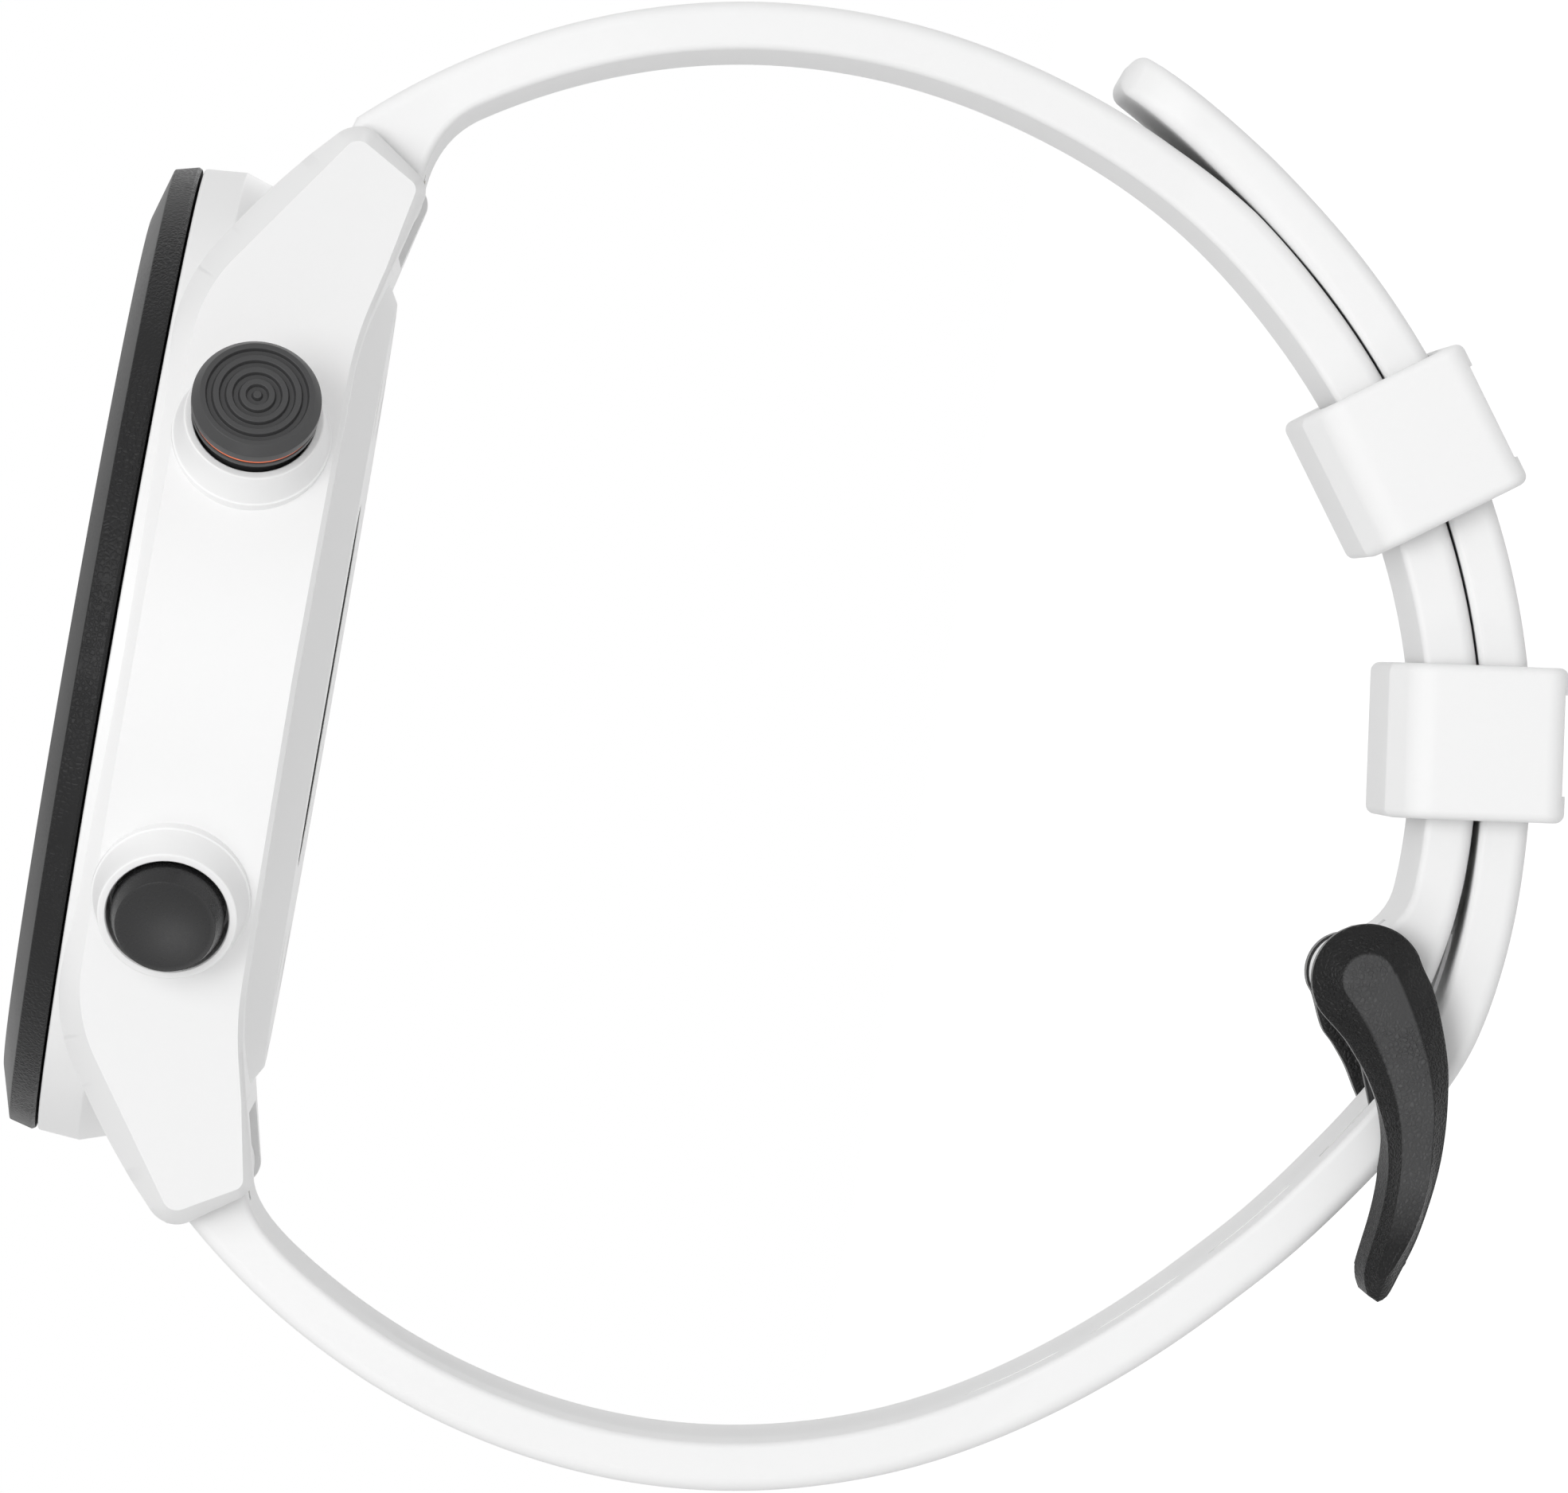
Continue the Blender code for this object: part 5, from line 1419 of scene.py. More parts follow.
        # A dark strip in the seal's rubber finish: painted shade along the recess's wall
        wardrobe.dress(shaded(cleaned(self.painted_recess_shade())), SEAL_RUBBER, "watch", [])
        steel, gold = wardrobe.get(STEEL), wardrobe.get(GOLD)
        screws = shaded(copies.build("back_screws", self.screw(), self.screw_places(), steel))
        wardrobe.dress(screws, STEEL, "watch", [f"back_screw_{i}" for i in range(1, 5)])
        pins = shaded(copies.build("charge_pins", self.pin(), self.pin_places(), gold))
        wardrobe.dress(pins, GOLD, "watch", [f"charge_pin_{i}" for i in range(1, 5)])


@dataclass
class SideButton:
    """One side button: the protruding grooved cap, or a low dished one."""

    name: str
    angle: float
    piston_radius: float = 2.5 * MM
    piston_bottom: float = BORE_FLOOR + 0.8 * MM
    piston_top: float = BORE_FLOOR + 2.54 * MM
    stem_end: float = 17.0 * MM
    head_radius: float = 2.84 * MM
    face_radius: float = 2.5 * MM
    head_height: float = 1.5 * MM
    groove_first: float = 0.345 * MM
    groove_pitch: float = 0.585 * MM
    groove_width: float = 0.27 * MM
    groove_depth: float = 0.2 * MM
    accent_drop: float = 0.92 * MM
    accent_height: float = 0.2 * MM

    def shank(self) -> list[Corner]:
        """The piston and the stem, below a cap.

        Returns:
            The corners.
        """
        stem = 0.9 * MM
        return [
            (self.piston_radius, self.piston_bottom, 0.08 * MM),
            (stem, self.piston_bottom, 0.05 * MM),
            (stem, self.stem_end, 0.1 * MM),
            (0.0, self.stem_end, 0.0),
        ]

    def grooved(self) -> list[Corner]:
        """The protruding cap, with ring grooves in its face and one for the accent ring.

        Returns:
            The corners.
        """
        face = self.piston_top + self.head_height
        corners = [(0.0, face, 0.0)]
        for i in range(4):
            middle = self.groove_first + i * self.groove_pitch
            for offset, drop in ((-0.62, 0), (-0.38, 1), (0.38, 1), (0.62, 0)):
                at = middle + offset * self.groove_width
                corners.append((at, face - drop * self.groove_depth, 0.035 * MM))
        high = face - self.accent_drop
        low = high - self.accent_height - 0.1 * MM
        floor = self.head_radius - 0.4 * MM
        return corners + [
            (self.face_radius, face, 0.05 * MM),
            (self.head_radius, face - 0.46 * MM, 0.06 * MM),
            (self.head_radius, high, 0.03 * MM),
            (floor, high, 0.0),
            (floor, low, 0.0),
            (self.head_radius - 0.05 * MM, low, 0.03 * MM),
            (self.head_radius - 0.05 * MM, self.piston_top, 0.03 * MM),
            (self.piston_radius, self.piston_top, 0.0),
        ]

    def dished(self) -> list[Corner]:
        """The low cap: a shallow dish with a wide edge chamfer.

        Returns:
            The corners.
        """
        face = BOSS_LIP + 0.95 * MM
        dish = [(0.22 * i * MM, face - 0.18 * MM * (1 - (0.1 * i) ** 2), 0.0) for i in range(10)]
        return dish + [
            (2.2 * MM, face, 0.03 * MM),
            (self.piston_radius, face - 0.85 * MM, 0.05 * MM),
        ]

    def accent(self) -> Piece:
        """The orange ring in the cap's groove.

        Returns:
            The ring.
        """
        low = self.piston_top + self.head_height - self.accent_drop - self.accent_height - 0.05 * MM
        high = low + self.accent_height
        outer = self.head_radius - 0.07 * MM
        inner = outer - 0.3 * MM
        ease = 0.04 * MM
        profile = [
            (outer, high - ease), (outer, low + ease), (outer - ease, low), (inner, low), (inner, high),
            (outer - ease, high),
        ]
        return turned("accent_ring", profile, 96, button_frame(self.angle, BUTTON_Z))

    def build(self, wardrobe: Wardrobe) -> None:
        """Build the button and dress it.

        Args:
            wardrobe: The materials of the watch.
        """
        is_start = self.name == "start"
        corners = (self.grooved() if is_start else self.dished()) + self.shank()
        frame = button_frame(self.angle, BUTTON_Z)
        cap = turned(self.name + "_cap", filleted(corners, steps=4), 112, frame)
        finish = BUTTON_GREY if is_start else BUTTON_GLOSS
        node = self.name + "_button"
        wardrobe.dress(shaded(cap, 28.0), finish, self.name, [node])
        if is_start:
            ring = shaded(self.accent(), 40.0)
            wardrobe.dress(ring, ACCENT_ORANGE, self.name, ["start_accent_ring"])


@dataclass
class StrapPair:
    """The two strap halves: one with the buckle's knuckle, one with the holes and the tail."""

    lug_half: float = 10.0 * MM
    end_half: float = 8.0 * MM
    taper_start: float = -8.0 * MM
    taper_end: float = -34.0 * MM
    thickness: float = 2.15 * MM
    outer_edge: float = 0.62 * MM
    inner_edge: float = 0.34 * MM
    end_edge: float = 0.4 * MM
    tail_edge: float = 0.95 * MM
    tail_rise: float = TAIL_RISE
    under_tail: float = 0.17 * MM
    knuckle: float = 2.05 * MM
    buckle_knuckle: float = 1.76 * MM
    buckle_angle: float = BUCKLE_ANGLE
    buckle_drop: float = BUCKLE_DROP
    tip_angle: float = 70.3
    tip_corner: float = 4.0 * MM
    lug_hole: float = 1.3 * MM
    # The loop angles over which the tail grows thin, its inner edge grows round, and that fades at the tip
    thin_span: Pair = (58.0, 71.0)
    round_span: Pair = (44.0, 58.0)
    fade_span: Pair = (63.0, 69.0)
    tail_loss: float = 0.25 * MM
    # How many degrees from a lug's bar the outer and the inner surface start
    outer_start: float = 1.6
    inner_start: float = 11.0
    # Half sizes of the tongue's slot, and of the window of the release knob
    tongue_slot: Triple = (1.2 * MM, 2.8 * MM, 4.1 * MM)
    knob_window: Triple = (1.45 * MM, 0.85 * MM, 2.05 * MM)
    knob_x: float = 5.4 * MM
    # The holes: the one that the tongue is in, their pitch, and half sizes of one
    hole_angle: float = -21.1
    hole_pitch: float = 11.9
    holes_before: int = 3
    holes_after: int = 6
    hole_half: Pair = (1.3 * MM, 2.45 * MM)
    hole_corner: float = 0.85 * MM
    hole_reach: float = 6.5 * MM
    # The shallow channel along the holes on the wrist side: half widths at its top and floor, and its depth
    channel_top: float = 4.0 * MM
    channel_floor: float = 2.9 * MM
    channel_depth: float = 0.25 * MM
    upper: Stations = (
        (-10.0, -0.3), (-4.0, -0.08), (4.0, 0.0), (47.0, 0.0), (60.0, 0.16),
        (75.0, 0.22), (88.0, 0.37), (100.0, 0.44), (113.0, 0.36), (133.0, 0.12),
    )
    lower: Stations = (
        (-133.0, -0.3), (-105.0, 0.2), (-86.0, 0.43), (-70.0, 0.33),
        (-52.0, 0.04), (-40.0, 0.2), (-32.0, 0.66), (-26.0, 1.12),
    )
    # The tail's lift over the layer that it lies on
    tail: Stations = (
        (-21.0, -0.78), (-17.0, -0.32), (-12.5, 0.06), (-6.0, 0.13), (4.0, 0.02),
        (25.0, 0.0), (47.0, 0.0), (58.0, 0.14), (71.0, 0.86),
    )

    def half_width(self, z: float) -> float:
        """Half the strap's width at a height."""
        share = clamped(along_span(z, (self.taper_start, self.taper_end)))
        return self.lug_half + (self.end_half - self.lug_half) * share

    def bar_angle(self, side: int) -> float:
        """The loop angle of a spring bar: side 1 is at 12 o'clock and side -1 at 6 o'clock."""
        return degrees(atan2(side * BAR_Y - LOOP.y, LOOP.z - BAR_Z))

    def lug_end(self, side: int, start: Vector, after: Vector) -> list[Vector]:
        """The outline from the inner surface round the lug's bar to the front of the knuckle.

        Args:
            side: 1 at 12 o'clock and -1 at 6 o'clock.
            start: The first point of the inner surface's line.
            after: The line's second point.

        Returns:
            The outline's points.
        """
        bar = Vector((side * BAR_Y, BAR_Z))
        turns = [radians(a) for a in spread(270.0, 78.0, 25)]
        knuckle = [bar + self.knuckle * Vector((side * cos(t), sin(t))) for t in turns]
        along = start - after
        pull = start + along * ((knuckle[0].y - start.y) / along.y)
        return curved(start, pull, knuckle[0], 14) + knuckle

    def solid(
        self,
        name: str,
        outer: list[Vector],
        inner: list[Vector],
        far_end: list[Vector],
        lug_end: list[Vector],
        inner_edges: list[float],
        channel: list[float],
        half: Callable[[Vector], float],
    ) -> Piece:
        """Make a strap half from its side outline.

        Args:
            name: The object's name.
            outer: The outer surface's line, from the lug to the far end.
            inner: The inner surface's line, point for point beside the outer one.
            far_end: The outline from the end of the outer line round to the end of the inner one.
            lug_end: The outline from the start of the inner line round to the start of the outer one.
            inner_edges: The radius of the inner line's edges at each of its points.
            channel: The depth of the channel along the inner line at each of its points.
            half: Half the width at a point.

        Returns:
            The solid, with rounded edges.
        """
        outline = outer + far_end + inner[::-1] + lug_end
        edges = [self.outer_edge] * len(outer) + [self.end_edge] * len(far_end)
        edges += inner_edges[::-1] + [self.inner_edge] * len(lug_end)
        for _ in range(6):
            edges = [(edges[i - 1] + edges[i] + edges[(i + 1) % len(edges)]) / 3 for i in range(len(edges))]
        normals = inward_normals(outline)
        shape = bmesh.new()
        rows = []
        for inset, back in quarter(6):
            row = []
            for point, normal, edge in zip(outline, normals, edges):
                place = point + normal * edge * inset
                row.append((half(place) - edge * back, *place))
            rows.append(row)
        depths = [0.0] * (len(outer) + len(far_end)) + channel[::-1] + [0.0] * len(lug_end)
        lips = [x - 0.2 * MM for x, _, _ in rows[-1]]
        rows.append([(min(self.channel_top, lip), *p) for lip, p in zip(lips, outline)])
        floor = [p + n * depth for p, n, depth in zip(outline, normals, depths)]
        rows.append([(min(self.channel_floor, lip - 0.4 * MM), *p) for lip, p in zip(lips, floor)])
        right = [[shape.verts.new(p) for p in row] for row in rows]
        left = [[shape.verts.new((-x, y, z)) for x, y, z in row] for row in rows]
        for side in (right, left):
            for one, two in zip(side, side[1:]):
                bridge(shape, one, two)
            self.flank(shape, side[0], len(outer), len(far_end))
        bridge(shape, right[-1], left[-1])
        return object_of(name, shape)

    def flank(self, shape: Shape, row: list, count: int, end: int) -> None:
        """Fill one side of a strap half with strips across it, and with one face at the lug.

        Args:
            shape: The mesh in the making.
            row: The side's outline.
            count: The points of its outer line, and of its inner one.
            end: The points of its far end.
        """
        outer = row[:count]
        inner = row[count + end : 2 * count + end][::-1]
        for i in range(count - 1):
            shape.faces.new((outer[i], outer[i + 1], inner[i + 1], inner[i]))
        rest = [outer[-1], *row[count : count + end], inner[-1]]
        for i in range(len(rest) // 2):
            corners = (rest[i], rest[i + 1], rest[-i - 2], rest[-i - 1])
            if len(set(corners)) > 2:
                shape.faces.new(list(dict.fromkeys(corners)))
        shape.faces.new([inner[0], *row[2 * count + end :], outer[0]])

    def line(self, stations: Stations, angles: Sequence[float], over: Height) -> list[Vector]:
        """Points along one surface of a strap half, at a height over its inner surface."""
        return [LOOP.point(a, station_rise(stations, a) * MM + over(a)) for a in angles]

    def upper_half(self) -> Piece:
        """The half with the buckle: lug knuckle, arc, and a knuckle round the buckle's bar.

        Returns:
            The solid.
        """
        count = 150
        lug = self.bar_angle(1)

        def thick(angle: float) -> float:
            """The thickness, a little fuller where the tail lies on it."""
            return self.thickness + self.under_tail * clamped(min((angle - 6) / 8, (64 - angle) / 8))

        outer = self.line(self.upper, spread(lug - self.outer_start, -9.0, count), thick)
        inner = self.line(self.upper, spread(lug - self.inner_start, -2.0, count), lambda a: 0.0)
        bar = LOOP.point(self.buckle_angle, -self.buckle_drop)
        out = LOOP.direction(self.buckle_angle)
        onward = Vector((-out.y, out.x))
        turns = [radians(a) for a in spread(80.0, 245.0, 25)]
        knuckle = [bar + self.buckle_knuckle * (cos(t) * out - sin(t) * onward) for t in turns]
        turn = curved(outer[-1], LOOP.point(-14.4, self.thickness - 0.2 * MM), knuckle[0], 8)
        bend = curved(knuckle[-1], LOOP.point(-5.2), inner[-1], 8)
        strap = self.solid(
            "strap_buckle_half",
            outer,
            inner,
            turn + knuckle + bend,
            self.lug_end(1, inner[0], inner[1]),
            [self.inner_edge] * count,
            [0.0] * count,
            lambda p: self.half_width(p.y),
        )
        self.cut_bar(strap, 1)
        combine(strap, rod("bar_hole", BUCKLE_BAR_HOLE, bar, 14 * MM), Merge.CUT)
        slot = block(self.tongue_slot)
        depth = Matrix.Translation((0, 0, self.buckle_drop - LOOP.radius))
        slot.data.transform(LOOP.frame(self.buckle_angle) @ depth)
        return combine(strap, slot, Merge.CUT)

    def tail_stations(self) -> Stations:
        """The lower half's stations, with its tail laid over the upper half."""
        return self.lower + tuple((angle, self.tail_rise / MM + lift) for angle, lift in self.tail)

    def lower_half(self, copies: CopiesTree) -> Piece:
        """The half with the holes: lug knuckle, arc, crossing at the buckle, and the tail with its tip.

        Args:
            copies: The tree that repeats a piece.

        Returns:
            The solid.
        """
        count = 260
        lug = self.bar_angle(-1)
        stations = self.tail_stations()

        def thick(angle: float) -> float:
            """The thickness, which falls a little towards the tip."""
            return self.thickness - self.tail_loss * max(0.0, along_span(angle, self.thin_span))

        stop = self.tip_angle - 2.0
        angles = spread(lug + self.inner_start, stop, count)
        outer = self.line(stations, spread(lug + self.outer_start, stop, count), thick)
        inner = self.line(stations, angles, lambda a: 0.0)
        last = (self.tip_angle,)
        ends = self.line(stations, last, thick) + self.line(stations, last, lambda a: 0.0)
        tip = (ends[0] + ends[1]) / 2
        along = (tip - (outer[-1] + inner[-1]) / 2).normalized()

        def half(point: Vector) -> float:
            """Half the width, with round corners at the tip.

            Args:
                point: A point of the side outline.

            Returns:
                Half the width there.
            """
            wide = self.half_width(point.y)
            left = self.tip_corner - max(0.0, (tip - point).dot(along))
            if (point - tip).length > 1.2 * self.tip_corner or left <= 0:
                return wide
            return wide - self.tip_corner + sqrt(self.tip_corner**2 - left**2)

        nose = filleted(
            [(*outer[-1], 0.0), (*ends[0], 1.05 * MM), (*ends[1], 0.7 * MM), (*inner[-1], 0.0)], steps=8
        )[1:-1]
        lug_end = self.lug_end(-1, inner[0], inner[1])
        edges = []
        for angle in angles:
            fade = max(0.0, along_span(angle, self.fade_span))
            share = clamped(along_span(angle, self.round_span)) * (1.0 - 0.5 * fade)
            edges.append(self.inner_edge + (self.tail_edge - self.inner_edge) * share)
        fades = [min((angle - lug - 14.0) / 8.0, (-13.0 - angle) / 4.0) for angle in angles]
        channel = [self.channel_depth * clamped(fade) for fade in fades]
        strap = self.solid("strap_tail_half", outer, inner, nose, lug_end, edges, channel, half)
        self.cut_bar(strap, -1)
        return combine(strap, self.holes(copies, stations), Merge.CUT)

    def holes(self, copies: CopiesTree, stations: Stations) -> Piece:
        """The cutters of the row of holes.

        Args:
            copies: The tree that repeats the cutter of one hole.
            stations: The inner surface that the holes start from.

        Returns:
            One mesh of all the cutters.
        """
        places = []
        for step in range(-self.holes_before, self.holes_after + 1):
            angle = self.hole_angle + self.hole_pitch * step
            place = LOOP.point(angle, station_rise(stations, angle) * MM)
            places.append((Vector((0, *place)), Vector((radians(angle), 0, 0))))
        outline = rounded_box(*self.hole_half, self.hole_corner, 8)
        shape = bmesh.new()
        levels = (-self.hole_reach, self.hole_reach)
        capped(shape, [[shape.verts.new((*p, z)) for p in outline] for z in levels])
        return copies.build("strap_holes", object_of("hole", shape), places)

    def cut_bar(self, strap: Piece, side: int) -> None:
        """Cut the spring bar's hole and the window of the release knob.

        Args:
            strap: The strap half.
            side: 1 at 12 o'clock and -1 at 6 o'clock.
        """
        bar = Vector((side * BAR_Y, BAR_Z))
        combine(strap, rod("bar_hole", self.lug_hole, bar, 24 * MM), Merge.CUT)
        window = block(self.knob_window)
        window.data.transform(Matrix.Translation((self.knob_x, bar.x, bar.y - self.knob_window[2])))
        combine(strap, window, Merge.CUT)

    def build(self, wardrobe: Wardrobe, copies: CopiesTree) -> None:
        """Build both halves and dress them.

        Args:
            wardrobe: The materials of the watch.
            copies: The tree that repeats a piece.
        """
        upper = shaded(cleaned(self.upper_half()), 34.0, weighted=True)
        wardrobe.dress(upper, STRAP_WHITE, "watch", ["strap_upper"])
        lower = shaded(cleaned(self.lower_half(copies)), 34.0, weighted=True)
        wardrobe.dress(lower, STRAP_WHITE, "watch", ["strap_lower"])


def rod(name: str, radius: float, middle: Vector, half: float) -> Piece:
    """A round rod along X through a point of the YZ plane."""
    place = Matrix.Translation((0, *middle)) @ Matrix.Rotation(pi / 2, 4, "Y")
    return turned(name, [(0, half), (radius, half), (radius, -half), (0, -half)], 40, place)


def block(half: Triple) -> Piece:
    """A plain block about the origin, used as a cutter.

    Args:
        half: Half its size along X, Y and Z.

    Returns:
        The block.
    """
    shape = bmesh.new()
    bmesh.ops.create_cube(shape, size=1, matrix=Matrix.Diagonal((2 * half[0], 2 * half[1], 2 * half[2], 1)))
    return object_of("cutter", shape)


@dataclass
class Keeper:
    """A keeper: a soft loop round both layers of the strap."""

    place: str
    angle: float
    tilt: float
    half_length: float = 3.45 * MM
    hole_half: float = 8.3 * MM
    hole_low: float = 30.0 * MM
    hole_high: float = 35.33 * MM
    wall_side: float = 1.7 * MM
    low: float = 28.55 * MM
    high: float = 36.48 * MM
    # The cut corners towards the wrist, across and up, of the outside and of the hole
    chamfer: Pair = (2.2 * MM, 1.2 * MM)
    hole_chamfer: Pair = (0.5 * MM, 0.6 * MM)
    # The fillets at the outer corners and at both ends of a cut corner
    outer_rounds: Triple = (0.95 * MM, 1.6 * MM, 0.5 * MM)
    hole_rounds: Triple = (0.3 * MM, 0.2 * MM, 0.2 * MM)
    end_round: float = 0.42 * MM
    hole_end_round: float = 0.2 * MM
    # The sunk panel on the outside: half its length, half its cutter's height, and the cutter's place
    panel_half: float = 2.25 * MM
    panel_deep: float = 0.6 * MM
    panel_lift: float = 0.44 * MM
    panel_shift: float = 0.3 * MM

    def frame(self) -> Matrix:
        """The keeper's frame on the loop's axis, with its tilt on the strap.

        Returns:
            The frame.
        """
        middle = Matrix.Translation((0, 0, -LOOP.radius - TAIL_RISE))
        tilt = Matrix.Rotation(radians(self.tilt), 4, "X")
        return LOOP.frame(self.angle) @ middle @ tilt @ middle.inverted()

    def outline(self, half: float, low: float, high: float, chamfer: Pair, rounds: Triple) -> list[Vector]:
        """A closed outline across the strap.

        Args:
            half: Half its width.
            low: The radius of its side towards the wrist.
            high: The radius of its outer side.
            chamfer: Its cut corners towards the wrist, across and up.
            rounds: The fillets at the outer corners and at both ends of a cut corner.

        Returns:
            The outline's points.
        """
        side = [
            (half, -high, rounds[0]),
            (half, -low - chamfer[1], rounds[1]),
            (half - chamfer[0], -low, rounds[2]),
        ]
        return filleted(side + [(-x, z, radius) for x, z, radius in reversed(side)], True, 10)

    def build(self, wardrobe: Wardrobe) -> None:
        """Build the keeper and dress it.

        Args:
            wardrobe: The materials of the watch.
        """
        frame = self.frame()
        wide = self.hole_half + self.wall_side
        outer = self.outline(wide, self.low, self.high, self.chamfer, self.outer_rounds)
        hole = self.outline(
            self.hole_half, self.hole_low, self.hole_high, self.hole_chamfer, self.hole_rounds
        )
        shape = bmesh.new()
        ends = []
        for outline, edge, sign in ((outer, self.end_round, 1), (hole, self.hole_end_round, -1)):
            normals = inward_normals(outline)
            rows = []
            for inset, back in quarter(5):
                moved = [p + n * edge * inset * sign for p, n in zip(outline, normals)]
                rows.append([(p.x, self.half_length - edge * back, p.y) for p in moved])
            fore = [[shape.verts.new(frame @ Vector(p)) for p in row] for row in rows]
            aft = [[shape.verts.new(frame @ Vector((x, -y, z))) for x, y, z in row] for row in rows]
            for side in (fore, aft):
                for one, two in zip(side, side[1:]):
                    bridge(shape, one, two)
            bridge(shape, fore[-1], aft[-1])
            ends.append((fore[0], aft[0]))
        for one, two in zip(*ends):
            bridge(shape, one, two)
        keeper = object_of("keeper_loop_" + self.place, shape)
        panel = block((wide, self.panel_half, self.panel_deep))
        place = (self.wall_side / 2 + self.panel_shift, 0, -self.high - self.panel_lift)
        panel.data.transform(frame @ Matrix.Translation(place))
        combine(keeper, panel, Merge.CUT)
        shaded(cleaned(keeper), 34.0, weighted=True)
        body, node = self.place + "_keeper", "keeper_" + self.place
        wardrobe.dress(keeper, STRAP_WHITE, body, [node])


@dataclass
class TangBuckle:
    """The black tang buckle: two horn-shaped arms, a tip bar, its pivot bar and its tongue."""

    angle: float = BUCKLE_ANGLE
    drop: float = BUCKLE_DROP
    inner_x: float = 8.4 * MM
    outer_x: float = 10.8 * MM
    slope_drop: float = 0.85 * MM
    cap_radius: float = 2.5 * MM
    facet_cap: float = 1.16 * MM
    eye_radius: float = 1.84 * MM
    flank_lean: float = 0.5 * MM
    far_slim: float = 0.75 * MM
    # The rounding of the far arm's outer edges, in millimetres
    far_ease: float = 0.35
    pivot_radius: float = 0.75 * MM
    pivot_half: float = 9.7 * MM
    pivot_hole_half: float = 9.9 * MM
    # The tip bar: its loop angle and rise, half sizes of its section, and its ends by X and lift
    tip_angle: float = -29.3
    tip_rise: float = 6.2 * MM
    tip_half: Pair = (1.0 * MM, 0.55 * MM)
    tip_round: float = 0.3 * MM
    tip_ends: tuple[Pair, Pair] = ((-9.4, -0.75), (9.4, 0.0))
    # The notch for the tongue: half sizes of its cutter, and how far that lies outside the bar's middle
    notch: Triple = (1.2 * MM, 2.0 * MM, 0.6 * MM)
    notch_lift: float = 0.87 * MM
    # The points of each long edge of a horn, where the leaning flank ends among them, and over how many
    edge_points: int = 80
    lean_end: int = 118
    lean_fade: int = 14
    # The tongue's line by loop angle and rise, half sizes of its section, and how its tip grows thin
    tongue_line: Stations = (
        (-12.2, -0.8), (-15.5, 0.45), (-19.6, 2.3), (-23.0, 4.05), (-25.6, 5.65), (-28.0, 6.78),
        (-30.2, 6.95),
    )
    tongue_half: Pair = (0.75 * MM, 0.32 * MM)
    tongue_round: float = 0.2 * MM
    tongue_tip: tuple[float, ...] = (1.0, 0.97, 0.88, 0.6)
    # The horn's outer and inner edges: degrees past the bar, and the rise over the bar's radius
    edge_out: Stations = (
        (-1.03, 2.88), (1.21, 3.76), (3.61, 4.63), (5.49, 5.19), (7.95, 5.85), (10.44, 6.44),
        (13.01, 6.94), (15.83, 7.43), (18.4, 7.75), (20.01, 7.95), (20.75, 7.8),
    )
    edge_in: Stations = (
        (20.85, 7.3), (20.4, 6.85), (19.6, 6.43), (18.25, 6.07), (16.65, 5.7), (15.07, 5.31), (13.35, 4.82),
        (11.38, 4.07), (10.06, 3.39), (8.79, 2.62), (7.37, 1.69), (6.18, 0.73), (5.31, -0.05),
    )
    facet_out: Stations = (
        (-1.12, 1.11), (1.08, 2.22), (3.73, 3.53), (6.03, 4.51), (7.84, 5.15), (9.7, 5.7),
        (11.55, 6.24), (13.67, 6.74), (15.75, 7.08), (17.6, 7.25), (19.0, 7.3),
    )
    facet_in: Stations = (
        (19.4, 7.1), (19.2, 6.9), (17.24, 6.42), (15.32, 5.92), (13.23, 5.34), (11.38, 4.75),
        (9.59, 4.07), (8.04, 3.35), (6.38, 2.44), (4.72, 1.44), (3.3, 0.5),
    )

    def bar(self) -> Vector:
        """The Y and Z of the pivot bar."""
        return LOOP.point(self.angle, -self.drop)

    def place(self, past: float, rise: float) -> Vector:
        """The Y and Z of a point given in degrees past the bar and millimetres over its radius."""
        return LOOP.point(self.angle - past, rise * MM - self.drop)

    def round_end(self, radius: float, start: Vector, end: Vector) -> list[Vector]:
        """Points round the bar from the direction of one point to that of another, away from the horn.

        Args:
            radius: Their distance from the bar.
            start: The point that gives the first direction.
            end: The point that gives the last one.

        Returns:
            The points.
        """
        bar = self.bar()
        first = atan2(start.y - bar.y, start.x - bar.x)
        last = atan2(end.y - bar.y, end.x - bar.x)
        while last < first:
            last += 2 * pi
        return [bar + radius * Vector((cos(t), sin(t))) for t in spread(first, last, 14)]

    def loop(self, out: Stations, back: Stations, radius: float, slim: float) -> list[Vector]:
        """A horn's closed outline: the round end, the outer edge, the tip and the inner edge.

        Args:
            out: The outer edge, from the round end to the tip.
            back: The inner edge, from the tip to the round end.
            radius: The round end's radius.
            slim: How far the inner edge moves out beyond the round end. The outer one moves 0.9 times as far.

        Returns:
            The outline's points.
        """
        bar = self.bar()
        outer, inner = [], []
        for line, edge, drawn in ((out, outer, 0.9 * slim), (back, inner, slim)):
            for past, rise in line:
                edge.append(self.place(past, rise + drawn / MM * clamped((past - 9) / 4)))
        toward = LOOP.direction(self.angle)
        onward = Vector((-toward.y, toward.x))
        # The round end runs from the inner edge's side to the outer edge's side
        start = bar - onward * radius * 0.82 - toward * radius * 0.57
        end = bar + onward * radius * 0.55 + toward * radius * 0.83
        around = self.round_end(radius, end, start)[::-1]
        middle = len(around) // 2
        head = smooth_line(around[middle:] + outer, self.edge_points)
        foot = smooth_line(inner + around[: middle + 1], self.edge_points)
        return head + foot[:-1]

